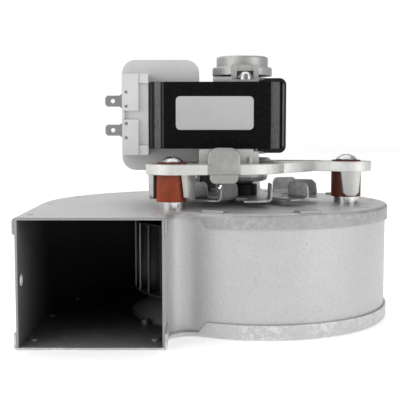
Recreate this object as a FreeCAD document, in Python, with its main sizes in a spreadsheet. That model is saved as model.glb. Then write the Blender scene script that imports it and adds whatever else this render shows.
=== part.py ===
"""Flue-gas blower of a gas boiler: scroll housing, centrifugal wheel, shaded-pole motor on a cast bracket.

Millimetres. Origin on the shaft axis, in the underside of the housing's bottom plate. +Z runs up the shaft
to the motor, the outlet faces -Y on the -X side, and the wheel turns counter-clockwise seen from above.
"""
import FreeCAD
import Part
import Sketcher
import math
import os
import re

doc = FreeCAD.newDocument("Blower")

# ---------------------------------------------------------------------------------------------------------
# Driving dimensions
# ---------------------------------------------------------------------------------------------------------
DIMENSIONS = {
    # sheet-metal housing
    "sheet": 1.0,
    "housing_height": 55.6,
    "rim_depth": 7.0,
    "rim_gap": 0.1,
    "bend_radius": 1.5,
    "drum_x": 8.5,
    "drum_y": -0.5,
    "drum_radius": 62.2,
    "join_angle": 30,
    "outlet_left": 97.6,
    "outlet_right": -35.6,
    "outlet_front": 78,
    "throat_radius": 9,
    "throat_rim": 2.2,
    "dimple_radius": 2.0,
    "dimple_height": 0.7,
    "dimple_inset": 4.4,
    "tab_width": 10,
    "tab_reach": 6.5,
    "mouth_hole_radius": 2.7,
    "mouth_hole_height": 28.3,
    "mouth_hole_inset": 7.5,
    "inlet_base_radius": 55,
    "inlet_lip_radius": 37,
    "inlet_cone_top": 12,
    "inlet_lip_top": 15.5,
    "inlet_screw_circle": 57.8,
    "inlet_screw_radius": 1.4,
    "shaft_opening_radius": 8,
    # centrifugal wheel
    "wheel_radius": 54,
    "wheel_bottom": 13.5,
    "wheel_height": 34,
    "wheel_sheet": 0.8,
    "wheel_eye_radius": 43,
    "blade_sheet": 0.7,
    "blade_curve": 7.5,
    "hub_flange_radius": 13,
    "hub_radius": 8,
    "hub_length": 10,
    "rivet_circle": 10.5,
    # legs
    "leg_circle": 51.6,
    "leg_angle": -10.7,
    "collar_radius": 6.0,
    "collar_height": 3.4,
    "sleeve_radius": 3.6,
    "sleeve_bore": 2.2,
    "screw_radius": 2.0,
    "screw_head_radius": 5.1,
    "screw_head_height": 2.6,
    "bush_radius": 7.2,
    "bush_neck_radius": 5.6,
    "bush_top_radius": 6.9,
    "bush_top_height": 0.6,
    "nut_radius": 5.0,
    "nut_height": 2.4,
    # cast motor bracket
    "bracket_bottom": 71.5,
    "bracket_thickness": 4.6,
    "ring_radius": 12.0,
    "centre_radius": 37,
    "lobe_circle": 27,
    "lobe_angle": 38,
    "lobe_radius": 20,
    "neck_width": 15,
    "tongue_angle": 105.5,
    "tongue_reach": 10.7,
    "tongue_thickness": 2.2,
    "tongue_bottom": 59.7,
    "tongue_top_width": 9.8,
    "tongue_bottom_width": 7.0,
    "cup_radius": 13,
    "cup_bottom": 65.8,
    "cup_floor": 2.0,
    "cup_rim_radius": 14.6,
    "cup_rim_height": 1.2,
    "relief_left": 7,
    "tray_depth": 0.8,
    "lug_x": -10.2,
    "lug_y": -44.6,
    "lug_width": 14.6,
    "lug_foot_width": 12.7,
    "lug_depth": 8.4,
    "lug_bottom": 67.4,
    "lug_top": 83.4,
    # motor
    "stack_bottom": 82.6,
    "stack_height": 31.1,
    "stack_left": 44.6,
    "stack_right": 17.4,
    "stack_half_depth": 27,
    "leg_inner": 34.8,
    "window_right": 18.5,
    "yoke_inner": 15.5,
    "rotor_radius": 12.7,
    "air_gap": 0.4,
    "shading_angle": 303,
    "shading_step": 22,
    "shading_in": 14.2,
    "shading_out": 20.2,
    "shading_wire": 1.6,
    "coil_left": 58.3,
    "coil_right": 21.3,
    "coil_bottom": 72.0,
    "coil_top": 124.6,
    "coil_corner": 6.5,
    "bobbin_wall": 1.2,
    "bobbin_cheek": 2.0,
    "bolt_x": -0.6,
    "bolt_y": 20,
    "bolt_radius": 2.0,
    "bolt_head_radius": 3.6,
    "bolt_head_height": 4.1,
    "clamp_sheet": 1.2,
    "cover_left": 37.9,
    "cover_right": 12.2,
    "cover_sheet": 0.8,
    "label_left": 32.2,
    "label_right": 4.1,
    "label_bottom": 91.4,
    "label_top": 107.0,
    "block_left": 57.35,
    "block_step": 49.6,
    "block_right": 45.05,
    "block_bottom": 79.5,
    "block_top": 117.7,
    "spade_tip": 65.8,
    "spade_height": 5.2,
    "spade_upper": 102.3,
    "spade_lower": 88.6,
    "clip_sheet": 1.7,
    "clip_left": 7.2,
    "clip_back": 8,
    # shaft, bearings, cap
    "shaft_radius": 3,
    "shaft_bottom": 33.5,
    "shaft_top": 124.8,
    "bearing_radius": 9.5,
    "bearing_width": 6,
    "lower_bearing": 68.2,
    "upper_bearing": 118.4,
    "ball_circle": 6.25,
    "ball_radius": 1.75,
    "race_radius": 1.79,
    "cap_radius": 12.7,
    "cap_top": 127.1,
    "flange_radius": 14.7,
    "flange_bottom": 117.8,
    "flange_top": 121.8,
    # cooling fan
    "fan_radius": 38,
    "fan_core_radius": 21,
    "fan_bottom": 58.1,
    "fan_sheet": 0.8,
    "fan_bend": 1.5,
    "vane_height": 7.5,
    "vane_length": 14,
    "vane_tip": 2.0,
    "vane_skew": 18,
    "fan_hub_radius": 7.7,
    "fan_hub_top": 64.2,
}
BLADES = 33
VANES = 10
BALLS = 7
LEGS = 3
FAN_START = -91                         # where the first sector of the cooling fan begins
FAN_SECTOR = 20
TAB_ANGLES = (-112.7, -72.5, 40, 95)    # folded tabs, seen from the drum's centre
DRUM_DIMPLE_ANGLES = (-78, -35, 5)      # pressed dimples along the drum arc
SCROLL_DIMPLE_ANGLES = (55, 90, 125, 155)   # and along the scroll arc
MOUTH_DIMPLE_INSETS = (13, 60)          # and beside the outlet's left wall, behind the mouth

dims = doc.addObject("Spreadsheet::Sheet", "Dims")
for row, (alias, size) in enumerate(DIMENSIONS.items(), start=1):
    dims.set(f"A{row}", alias)
    dims.set(f"B{row}", str(size))
    dims.setAlias(f"B{row}", alias)
doc.recompute()

# Sizes that follow from the driving ones, as text for the expressions
SCROLL_RADIUS = "(drum_x + outlet_left + drum_radius * cos(join_angle)) / (1 + cos(join_angle))"
SCROLL_X = "(scroll_r * (0 - 1) * cos(join_angle) + drum_x + drum_radius * cos(join_angle))"
WHEEL_TOP = "(wheel_bottom + wheel_height)"
STACK_TOP = "(stack_bottom + stack_height)"
BRACKET_TOP = "(bracket_bottom + bracket_thickness)"
PLATE_TOP = "housing_height"
HUB_TOP = "(wheel_bottom + wheel_height - wheel_sheet)"
NEVER_ALIASES = {"cos", "sin", "tan", "sqrt", "Dims"}


def bound(text):
    """Put the sheet's name before each alias of an expression."""
    return re.sub(r"[A-Za-z_]\w*", lambda m: m[0] if m[0] in NEVER_ALIASES else "Dims." + m[0], str(text))


def value(text):
    """The number that an expression of aliases gives now."""
    return float(dims.evalExpression(bound(text)))


# ---------------------------------------------------------------------------------------------------------
# Helpers: sketches, features, primitives
# ---------------------------------------------------------------------------------------------------------
nodes = {}


def keep(node, label):
    """Name a finished sub-part, and write it out at the end."""
    node.Label = label
    nodes[label] = node
    return node


def new_body(label):
    return keep(doc.addObject("PartDesign::Body", label.title().replace("_", "")), label)


def new_sketch(body, name, height="0", role="XY_Plane"):
    """A sketch on one of the body's own origin planes, moved along that plane's normal."""
    sketch = body.newObject("Sketcher::SketchObject", name)
    plane = next(item for item in body.Origin.OriginFeatures if item.Role == role)
    sketch.AttachmentSupport = [(plane, "")]
    sketch.MapMode = "FlatFace"
    sketch.setExpression(".AttachmentOffset.Base.z", bound(height))
    return sketch


def fix_point(sketch, geometry, point, x, y):
    """Hold one point of a sketch at a place given by two expressions."""
    for kind, text, axis in (("DistanceX", x, -2), ("DistanceY", y, -1)):
        if abs(value(text)) < 1e-9:
            sketch.addConstraint(Sketcher.Constraint("PointOnObject", geometry, point, axis))
        else:
            index = sketch.addConstraint(Sketcher.Constraint(kind, -1, 1, geometry, point, value(text)))
            sketch.setExpression(f"Constraints[{index}]", bound(text))


def draw_circle(sketch, radius, x="0", y="0"):
    centre = FreeCAD.Vector(value(x), value(y), 0)
    circle = sketch.addGeometry(Part.Circle(centre, FreeCAD.Vector(0, 0, 1), value(radius)))
    fix_point(sketch, circle, 3, x, y)
    index = sketch.addConstraint(Sketcher.Constraint("Radius", circle, value(radius)))
    sketch.setExpression(f"Constraints[{index}]", bound(radius))


def draw_polygon(sketch, corners):
    """A closed outline of straight lines; each corner is a pair of expressions."""
    points = [FreeCAD.Vector(value(x), value(y), 0) for x, y in corners]
    lines = [sketch.addGeometry(Part.LineSegment(start, end))
             for start, end in zip(points, points[1:] + points[:1])]
    for line, following in zip(lines, lines[1:] + lines[:1]):
        sketch.addConstraint(Sketcher.Constraint("Coincident", line, 2, following, 1))
    for line, (x, y) in zip(lines, corners):
        fix_point(sketch, line, 1, x, y)


def draw_box(sketch, left, low, right, high):
    draw_polygon(sketch, [(left, low), (right, low), (right, high), (left, high)])


def pad(body, sketch, length, downward=False):
    feature = body.newObject("PartDesign::Pad", "Pad" + sketch.Name)
    feature.Profile = sketch
    feature.setExpression("Length", bound(length))
    feature.Reversed = downward
    doc.recompute()
    return feature


def pocket(body, sketch, depth, upward=False):
    """Cut a sketch out of the body, and stop if the cut missed it."""
    before = body.Shape.Volume
    feature = body.newObject("PartDesign::Pocket", "Pocket" + sketch.Name)
    feature.Profile = sketch
    feature.setExpression("Length", bound(depth))
    feature.Reversed = upward
    doc.recompute()
    if not body.Shape.Volume < before:
        raise RuntimeError(f"{feature.Name} cuts nothing")
    return feature


def revolve(body, sketch):
    feature = body.newObject("PartDesign::Revolution", "Turned" + sketch.Name)
    feature.Profile = sketch
    feature.ReferenceAxis = (sketch, ["V_Axis"])
    feature.Angle = 360
    doc.recompute()
    return feature


def groove(body, sketch):
    feature = body.newObject("PartDesign::Groove", "Groove" + sketch.Name)
    feature.Profile = sketch
    feature.ReferenceAxis = (sketch, ["V_Axis"])
    feature.Angle = 360
    doc.recompute()
    return feature


def around(body, features, count):
    """Repeat features evenly around the shaft axis."""
    pattern = body.newObject("PartDesign::PolarPattern", "Around" + features[0].Name)
    pattern.Originals = features
    axis = next(item for item in body.Origin.OriginFeatures if item.Role == "Z_Axis")
    pattern.Axis = (axis, [""])
    pattern.Angle = 360
    pattern.Occurrences = count
    body.Tip = pattern
    doc.recompute()
    return pattern


def round_edges(body, chosen, radius):
    """Fillet the edges that a test picks."""
    names = [f"Edge{i}" for i, edge in enumerate(body.Shape.Edges, start=1) if chosen(edge)]
    feature = body.newObject("PartDesign::Fillet", "Rounded" + body.Name)
    feature.Base = (body.Group[-2] if body.Group[-1] == feature else body.Group[-1], names)
    feature.setExpression("Radius", bound(radius))
    doc.recompute()
    return feature


def primitive(kind, name, **sizes):
    """A Part primitive with its sizes, and its place x, y, z, bound to the sheet."""
    solid = doc.addObject("Part::" + kind, name)
    for key, text in sizes.items():
        path = f".Placement.Base.{key}" if key in "xyz" else key
        solid.setExpression(path, bound(text))
    return solid


def tube(name, outer, inner, low, length, x="0", y="0"):
    """A round tube standing on z = low."""
    outside = primitive("Cylinder", name + "Outside", Radius=outer, Height=length, x=x, y=y, z=low)
    bore = primitive("Cylinder", name + "Bore", Radius=inner, Height=f"{length} + 2", x=x, y=y,
                     z=f"{low} - 1")
    return subtract(name, outside, bore)


def subtract(name, base, tool):
    cut = doc.addObject("Part::Cut", name)
    cut.Base = base
    cut.Tool = tool
    return cut


def join(name, parts):
    fuse = doc.addObject("Part::MultiFuse", name)
    fuse.Shapes = parts
    fuse.Refine = True
    return fuse


def group(label, parts):
    """Several like pieces, as separate solids of one node."""
    compound = doc.addObject("Part::Compound", label.title().replace("_", ""))
    compound.Links = parts
    return keep(compound, label)


def leg_place(index, circle="leg_circle"):
    """Expressions for the place of one leg."""
    angle = f"(leg_angle + {index * 360 // LEGS})"
    return f"{circle} * cos{angle}", f"{circle} * sin{angle}"


def turn(part, angle):
    """Swing a finished primitive about the shaft axis."""
    place = part.Placement
    spin = FreeCAD.Placement(FreeCAD.Vector(), FreeCAD.Rotation(FreeCAD.Vector(0, 0, 1), angle))
    part.Placement = spin.multiply(place)


# ---------------------------------------------------------------------------------------------------------
# Housing
# ---------------------------------------------------------------------------------------------------------
def draw_scroll(sketch, offset, front):
    """The scroll's outline, grown by offset: drum arc, scroll arc, outlet walls, mouth, throat arc."""
    radius = value(f"drum_radius + {offset}")
    outer = value(f"{SCROLL_RADIUS} + {offset}")
    join_at = math.radians(value("join_angle"))
    drum = FreeCAD.Vector(value("drum_x"), value("drum_y"), 0)
    shift = outer - radius
    scroll = drum - FreeCAD.Vector(shift * math.cos(join_at), shift * math.sin(join_at), 0)
    left = -value(f"outlet_left + {offset}")
    right = value(f"outlet_right + {offset}")
    mouth = -value(front)
    throat_radius = value(f"throat_radius - {offset}")
    throat_x = right + throat_radius
    throat_y = drum.y - math.sqrt((radius + throat_radius) ** 2 - (throat_x - drum.x) ** 2)
    throat = FreeCAD.Vector(throat_x, throat_y, 0)
    meet = math.atan2(throat.y - drum.y, throat.x - drum.x)

    def arc(centre, size, start, end):
        circle = Part.Circle(centre, FreeCAD.Vector(0, 0, 1), size)
        return Part.ArcOfCircle(circle, start, end)

    def line(x1, y1, x2, y2):
        return Part.LineSegment(FreeCAD.Vector(x1, y1, 0), FreeCAD.Vector(x2, y2, 0))

    drum_arc = sketch.addGeometry(arc(drum, radius, meet, join_at))
    scroll_arc = sketch.addGeometry(arc(scroll, outer, join_at, math.pi))
    left_wall = sketch.addGeometry(line(left, scroll.y, left, mouth))
    mouth_line = sketch.addGeometry(line(left, mouth, right, mouth))
    right_wall = sketch.addGeometry(line(right, mouth, right, throat.y))
    throat_arc = sketch.addGeometry(arc(throat, throat_radius, meet + math.pi, math.pi))
    for kind, first, end, second, start in (
            ("Tangent", drum_arc, 2, scroll_arc, 1), ("Tangent", scroll_arc, 2, left_wall, 1),
            ("Coincident", left_wall, 2, mouth_line, 1), ("Coincident", mouth_line, 2, right_wall, 1),
            ("Tangent", right_wall, 2, throat_arc, 2), ("Tangent", throat_arc, 1, drum_arc, 1)):
        sketch.addConstraint(Sketcher.Constraint(kind, first, end, second, start))
    sketch.addConstraint(Sketcher.Constraint("Vertical", left_wall))
    sketch.addConstraint(Sketcher.Constraint("Horizontal", mouth_line))
    sketch.addConstraint(Sketcher.Constraint("Vertical", right_wall))
    fix_point(sketch, drum_arc, 3, "drum_x", "drum_y")
    fix_point(sketch, mouth_line, 1, f"0 - (outlet_left + {offset})", f"0 - ({front})")
    for curve, text in ((drum_arc, f"drum_radius + {offset}"), (scroll_arc, f"{SCROLL_RADIUS} + {offset}"),
                        (throat_arc, f"throat_radius - {offset}")):
        index = sketch.addConstraint(Sketcher.Constraint("Radius", curve, value(text)))
        sketch.setExpression(f"Constraints[{index}]", bound(text))
    reach = value(f"outlet_right + {offset}")
    index = sketch.addConstraint(Sketcher.Constraint("DistanceX", -1, 1, right_wall, 1, reach))
    sketch.setExpression(f"Constraints[{index}]", bound(f"outlet_right + {offset}"))


def dimple_places():
    """Centres of the pressed dimples, a little inside the wall."""
    drum = (value("drum_x"), value("drum_y"))
    radius = value("drum_radius - dimple_inset")
    outer = value(f"{SCROLL_RADIUS} - dimple_inset")
    join_at = math.radians(value("join_angle"))
    shift = outer - radius
    scroll = (drum[0] - shift * math.cos(join_at), drum[1] - shift * math.sin(join_at))
    places = []
    for centre, size, angles in ((drum, radius, DRUM_DIMPLE_ANGLES), (scroll, outer, SCROLL_DIMPLE_ANGLES)):
        for angle in angles:
            turned = math.radians(angle)
            places.append((centre[0] + size * math.cos(turned), centre[1] + size * math.sin(turned)))
    for inset in MOUTH_DIMPLE_INSETS:
        places.append((-value("outlet_left - dimple_inset"), -value("outlet_front") + inset))
    places.append((value("outlet_right - dimple_inset"), -value("outlet_front") + MOUTH_DIMPLE_INSETS[0]))
    return places


def draw_dimples(sketch, radius):
    for x, y in dimple_places():
        draw_circle(sketch, radius, f"{x:.3f}" if x > 0 else f"0 - {-x:.3f}",
                    f"{y:.3f}" if y > 0 else f"0 - {-y:.3f}")


def tab_box(name, angle, inner, outer, width, low, height):
    """A block across the wall at one tab, turned to face the drum's centre."""
    block = primitive("Box", name, Length=f"{outer} - ({inner})", Width=width, Height=height)
    out = FreeCAD.Vector(value(inner), -value(width) / 2, 0)
    spin = FreeCAD.Rotation(FreeCAD.Vector(0, 0, 1), angle)
    centre = FreeCAD.Vector(value("drum_x"), value("drum_y"), value(low))
    block.Placement = FreeCAD.Placement(centre + spin.multVec(out), spin)
    return block


def on_rim_bend(height):
    """A test for the edges of the outline at one level, without the mouth's own edge."""
    def chosen(edge):
        if any(abs(vertex.Z - value(height)) > 1e-6 for vertex in edge.Vertexes):
            return False
        return any(vertex.Y > -value("outlet_front") + 1e-3 for vertex in edge.Vertexes)
    return chosen


def rim_relief(name, low, high, slant):
    """Where the rim is cut back along the concave throat; its far end is cut on a slant."""
    left = value("outlet_right + 0.6")
    reach = value("outlet_right + 14")
    front = value("0 - outlet_front + 13")
    outline = [(left, value(low)), (reach + max(0, -slant), value(low)), (reach + max(0, slant), value(high)),
               (left, value(high))]
    corners = [FreeCAD.Vector(x, front, z) for x, z in outline + outline[:1]]
    cut = doc.addObject("Part::Feature", name)
    cut.Shape = Part.Face(Part.makePolygon(corners)).extrude(FreeCAD.Vector(0, 17, 0))
    return cut


def make_top_plate():
    body = doc.addObject("PartDesign::Body", "TopPlateBlank")
    rim = "rim_gap + sheet"
    outline = new_sketch(body, "TopOutline", "housing_height - rim_depth")
    draw_scroll(outline, rim, "outlet_front")
    pad(body, outline, "rim_depth")
    round_edges(body, on_rim_bend("housing_height"), "bend_radius")
    inside = new_sketch(body, "TopInside", "housing_height - rim_depth")
    draw_scroll(inside, "rim_gap", "outlet_front + 5")
    pocket(body, inside, "rim_depth - sheet", upward=True)
    dimple = new_sketch(body, "TopDimples", "housing_height - sheet")
    draw_dimples(dimple, "dimple_radius")
    pad(body, dimple, "dimple_height", downward=True)
    recess = new_sketch(body, "TopRecesses", "housing_height")
    draw_dimples(recess, "dimple_radius - 0.4")
    pocket(body, recess, "dimple_height")
    holes = new_sketch(body, "TopHoles", "housing_height")
    draw_circle(holes, "shaft_opening_radius")
    for index in range(LEGS):
        draw_circle(holes, "sleeve_bore", *leg_place(index))
    pocket(body, holes, "2 * sheet")
    slots = [tab_box(f"Slot{i}", angle, "drum_radius - sheet - 0.2", "drum_radius + 0.2", "tab_width + 0.6",
                     "housing_height - 3", "5") for i, angle in enumerate(TAB_ANGLES[:-1])]
    slots.append(scroll_tab_box("SlotBack", "0 - sheet - 0.2", "0.2", "tab_width + 0.6",
                                "housing_height - 3", "5"))
    slots.append(rim_relief("TopRelief", "housing_height - rim_depth - 0.1", "housing_height - throat_rim",
                            -3.5))
    return keep(subtract("TopPlate", body, join("TopCuts", slots)), "housing_top_plate")


def scroll_tab_box(name, inner, outer, width, low, height):
    """The same for the tab that stands on the scroll arc instead of the drum arc."""
    block = primitive("Box", name, Length=f"{outer} - ({inner})", Width=width, Height=height)
    size = value(SCROLL_RADIUS)
    shift = size - value("drum_radius")
    join_at = math.radians(value("join_angle"))
    spin = FreeCAD.Rotation(FreeCAD.Vector(0, 0, 1), TAB_ANGLES[-1])
    centre = FreeCAD.Vector(value("drum_x") - shift * math.cos(join_at),
                            value("drum_y") - shift * math.sin(join_at), value(low))
    out = FreeCAD.Vector(size + value(inner), -value(width) / 2, 0)
    block.Placement = FreeCAD.Placement(centre + spin.multVec(out), spin)
    return block


def make_bottom_plate():
    body = doc.addObject("PartDesign::Body", "BottomPlateBlank")
    outline = new_sketch(body, "BottomOutline")
    draw_scroll(outline, "rim_gap + sheet", "outlet_front")
    pad(body, outline, "rim_depth")
    round_edges(body, on_rim_bend("0"), "bend_radius")
    inside = new_sketch(body, "BottomInside", "sheet")
    draw_scroll(inside, "rim_gap", "outlet_front + 5")
    pocket(body, inside, "rim_depth", upward=True)
    dimple = new_sketch(body, "BottomDimples", "sheet")
    draw_dimples(dimple, "dimple_radius")
    pad(body, dimple, "dimple_height")
    recess = new_sketch(body, "BottomRecesses")
    draw_dimples(recess, "dimple_radius - 0.4")
    pocket(body, recess, "dimple_height", upward=True)
    opening = new_sketch(body, "InletOpening")
    draw_circle(opening, "inlet_base_radius")
    pocket(body, opening, "2 * sheet", upward=True)
    cone = new_sketch(body, "InletCone", role="XZ_Plane")
    draw_polygon(cone, [
        ("inlet_base_radius - sheet", "0"), ("inlet_base_radius + sheet", "0"),
        ("inlet_base_radius + sheet", "sheet"), ("inlet_base_radius", "sheet"),
        ("inlet_lip_radius + sheet", "inlet_cone_top"), ("inlet_lip_radius + sheet", "inlet_lip_top"),
        ("inlet_lip_radius", "inlet_lip_top"), ("inlet_lip_radius", "inlet_cone_top - 0.6"),
    ])
    revolve(body, cone)
    collar = new_sketch(body, "ScrewCollar", "sheet")
    place = ("inlet_screw_circle * cos(36.6)", "inlet_screw_circle * sin(36.6)")
    draw_circle(collar, "inlet_screw_radius + 0.7", *place)
    raised = pad(body, collar, "2.2")
    around(body, [raised], 4)
    hole = new_sketch(body, "ScrewHole")
    draw_circle(hole, "inlet_screw_radius", *place)
    cut = pocket(body, hole, "4", upward=True)
    around(body, [cut], 4)
    relief = rim_relief("BottomRelief", "throat_rim", "rim_depth + 0.1", 3.5)
    return keep(subtract("BottomPlate", body, relief), "housing_bottom_plate")


def make_scroll_wall():
    body = doc.addObject("PartDesign::Body", "WallStrip")
    outline = new_sketch(body, "WallOutside", "sheet")
    draw_scroll(outline, "0", "outlet_front")
    pad(body, outline, "housing_height - 2 * sheet")
    inside = new_sketch(body, "WallInside", "sheet")
    draw_scroll(inside, "(0 - sheet)", "outlet_front + 5")
    pocket(body, inside, "housing_height", upward=True)
    hole = new_sketch(body, "MouthHoles", "0", role="YZ_Plane")
    draw_circle(hole, "mouth_hole_radius", "0 - outlet_front + mouth_hole_inset", "mouth_hole_height")
    cut = pocket(body, hole, "2 * outlet_left")
    cut.Midplane = True
    doc.recompute()
    parts = [body]
    for index, angle in enumerate(TAB_ANGLES[:-1]):
        parts.append(tab_box(f"Tab{index}", angle, "drum_radius - sheet", "drum_radius", "tab_width",
                             "housing_height - sheet - 2", "2 * sheet + 2 + 0.05"))
        parts.append(tab_box(f"TabFold{index}", angle, "drum_radius - tab_reach", "drum_radius", "tab_width",
                             "housing_height + 0.05", "sheet"))
    parts.append(scroll_tab_box("TabBack", "0 - sheet", "0", "tab_width", "housing_height - sheet - 2",
                                "2 * sheet + 2 + 0.05"))
    parts.append(scroll_tab_box("TabFoldBack", "0 - tab_reach", "0", "tab_width", "housing_height + 0.05",
                                "sheet"))
    return keep(join("ScrollWall", parts), "scroll_wall")


def make_clinch_nuts():
    nuts = [tube(f"ClinchNut{i}", "nut_radius", "screw_radius + 0.05", "housing_height - sheet - nut_height",
                 "nut_height", *leg_place(i)) for i in range(LEGS)]
    return group("clinch_nuts", nuts)


# ---------------------------------------------------------------------------------------------------------
# Wheel
# ---------------------------------------------------------------------------------------------------------
def make_wheel_plates():
    body = new_body("wheel_back_plate")
    disc = new_sketch(body, "BackDisc", HUB_TOP)
    draw_circle(disc, "wheel_radius")
    draw_circle(disc, "shaft_radius + 2")
    pad(body, disc, "wheel_sheet")
    rivet = new_sketch(body, "BackRivetHole", WHEEL_TOP)
    draw_circle(rivet, "1.5", "rivet_circle", "0")
    around(body, [pocket(body, rivet, "2 * wheel_sheet")], 4)
    keep(tube("WheelFrontRing", "wheel_radius", "wheel_eye_radius", "wheel_bottom", "wheel_sheet"),
         "wheel_front_ring")


def make_blades():
    """Forward-curved blades: one is drawn as a bent strip, and the rest repeat it around the shaft."""
    inner = value("wheel_eye_radius + 1.4")
    outer = value("wheel_radius - 0.5")
    curve = value("blade_curve")
    half = value("blade_sheet") / 2
    lead = math.radians(5)
    start = FreeCAD.Vector(inner, 0, 0)
    end = FreeCAD.Vector(outer * math.cos(lead), outer * math.sin(lead), 0)
    chord = end - start
    across = FreeCAD.Vector(-chord.y, chord.x, 0)
    across.normalize()
    centre = (start + end) * 0.5 + across * math.sqrt(curve ** 2 - (chord.Length / 2) ** 2)

    def at(radius, toward):
        ray = toward - centre
        ray.normalize()
        return centre + ray * radius

    middle = centre - across * curve
    edges = []
    for radius in (curve - half, curve + half):
        edges.append(Part.Arc(at(radius, start), at(radius, middle), at(radius, end)).toShape())
    edges.append(Part.LineSegment(at(curve - half, start), at(curve + half, start)).toShape())
    edges.append(Part.LineSegment(at(curve - half, end), at(curve + half, end)).toShape())
    profile = Part.Face(Part.Wire(Part.__sortEdges__(edges)))
    profile.translate(FreeCAD.Vector(0, 0, value("wheel_bottom + wheel_sheet")))
    strip = profile.extrude(FreeCAD.Vector(0, 0, value("wheel_height - 2 * wheel_sheet")))
    blades = []
    for index in range(BLADES):
        blade = strip.copy()
        blade.rotate(FreeCAD.Vector(), FreeCAD.Vector(0, 0, 1), index * 360 / BLADES)
        blades.append(blade)
    feature = doc.addObject("Part::Feature", "WheelBlades")
    feature.Shape = Part.makeCompound(blades)
    return keep(feature, "wheel_blades")


def make_hub():
    body = new_body("wheel_hub")
    profile = new_sketch(body, "HubProfile", role="XZ_Plane")
    low = f"({HUB_TOP} - 2 - hub_length)"
    flange = f"({HUB_TOP} - 2)"
    draw_polygon(profile, [("shaft_radius", low), ("hub_radius", low), ("hub_radius", flange),
                           ("hub_flange_radius", flange), ("hub_flange_radius", HUB_TOP),
                           ("shaft_radius", HUB_TOP)])
    revolve(body, profile)
    rivet = new_sketch(body, "HubRivetHole", HUB_TOP)
    draw_circle(rivet, "1.5", "rivet_circle", "0")
    around(body, [pocket(body, rivet, "3")], 4)
    cross = new_sketch(body, "SetScrewHole", "0", role="YZ_Plane")
    draw_circle(cross, "2", "0", f"{low} + 4")
    pocket(body, cross, "hub_radius + 1", upward=True)
    screw = primitive("Cylinder", "SetScrew", Radius="2", Height="hub_radius - shaft_radius - 0.6",
                      x="shaft_radius + 0.1", z=f"{low} + 4")
    screw.Placement.Rotation = FreeCAD.Rotation(FreeCAD.Vector(0, 1, 0), 90)
    socket = primitive("Prism", "SetScrewSocket", Polygon="6", Circumradius="1.15", Height="2",
                       x="hub_radius - 2.4", z=f"{low} + 4")
    socket.Placement.Rotation = FreeCAD.Rotation(FreeCAD.Vector(0, 1, 0), 90)
    keep(subtract("HubSetScrew", screw, socket), "hub_set_screw")


def make_rivets():
    rivets = []
    for index in range(4):
        angle = index * 90
        parts = []
        for name, radius, low, height in (
                ("Shank", "1.5", f"{HUB_TOP} - 2", "2 + wheel_sheet"),
                ("Head", "2.6", WHEEL_TOP, "0.8"), ("Tail", "2.2", f"{HUB_TOP} - 2.8", "0.8")):
            part = primitive("Cylinder", f"Rivet{name}{index}", Radius=radius, Height=height,
                             x=f"rivet_circle * cos({angle})", y=f"rivet_circle * sin({angle})", z=low)
            parts.append(part)
        rivets.append(join(f"Rivet{index}", parts))
    return group("wheel_rivets", rivets)


# ---------------------------------------------------------------------------------------------------------
# Shaft, bearings, rotor
# ---------------------------------------------------------------------------------------------------------
def make_shaft():
    shaft = primitive("Cylinder", "ShaftRod", Radius="shaft_radius", Height="shaft_top - shaft_bottom",
                      z="shaft_bottom")
    bevel = doc.addObject("Part::Chamfer", "Shaft")
    bevel.Base = shaft
    doc.recompute()
    ends = [i for i, edge in enumerate(shaft.Shape.Edges, start=1) if len(edge.Vertexes) == 1]
    bevel.Edges = [(i, 0.4, 0.4) for i in ends]
    return keep(bevel, "shaft")


def make_bearing(name, low):
    """Outer ring, inner ring, cage and balls of one deep-groove bearing."""
    middle = f"({low} + bearing_width / 2)"
    rings = {}
    for ring, outer, inner in (("outer", "bearing_radius", "ball_circle + 1.35"),
                               ("inner", "ball_circle - 1.35", "shaft_radius")):
        blank = tube(f"{name}{ring}Blank".title(), outer, inner, low, "bearing_width")
        race = primitive("Torus", f"{name}{ring}Race".title(), Radius1="ball_circle",
                         Radius2="race_radius", z=middle)
        rings[ring] = keep(subtract(f"{name}{ring}".title(), blank, race), f"{name}_bearing_{ring}_ring")
    balls = []
    pockets = []
    for index in range(BALLS):
        angle = index * 360 / BALLS
        place = {"x": f"ball_circle * cos({angle:.4f})", "y": f"ball_circle * sin({angle:.4f})", "z": middle}
        balls.append(primitive("Sphere", f"{name}Ball{index}".title(), Radius="ball_radius", **place))
        pocket_hole = primitive("Cylinder", f"{name}Pocket{index}".title(), Radius="race_radius",
                                Height="ball_circle + 3", z=middle)
        outward = FreeCAD.Vector(math.cos(math.radians(angle)), math.sin(math.radians(angle)), 0)
        pocket_hole.Placement.Rotation = FreeCAD.Rotation(FreeCAD.Vector(0, 0, 1), outward)
        pockets.append(pocket_hole)
    group(f"{name}_bearing_balls", balls)
    shell = tube(f"{name}CageShell".title(), "ball_circle + 0.3", "ball_circle - 0.3", f"{middle} - 2.2",
                 "4.4")
    keep(subtract(f"{name}Cage".title(), shell, join(f"{name}Pockets".title(), pockets)),
         f"{name}_bearing_cage")


def make_rotor():
    keep(tube("RotorCore", "rotor_radius", "shaft_radius", "stack_bottom", "stack_height"), "rotor_core")
    group("rotor_end_rings", [
        tube("LowerEndRing", "rotor_radius - 0.5", "8", "stack_bottom - 3", "3"),
        tube("UpperEndRing", "rotor_radius - 0.5", "8", STACK_TOP, "3")])
    group("rotor_spacers", [
        tube("LowerSpacer", "4.6", "shaft_radius", "lower_bearing + bearing_width",
             "stack_bottom - lower_bearing - bearing_width"),
        tube("UpperSpacer", "4.6", "shaft_radius", STACK_TOP, f"upper_bearing - {STACK_TOP}")])


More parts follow.
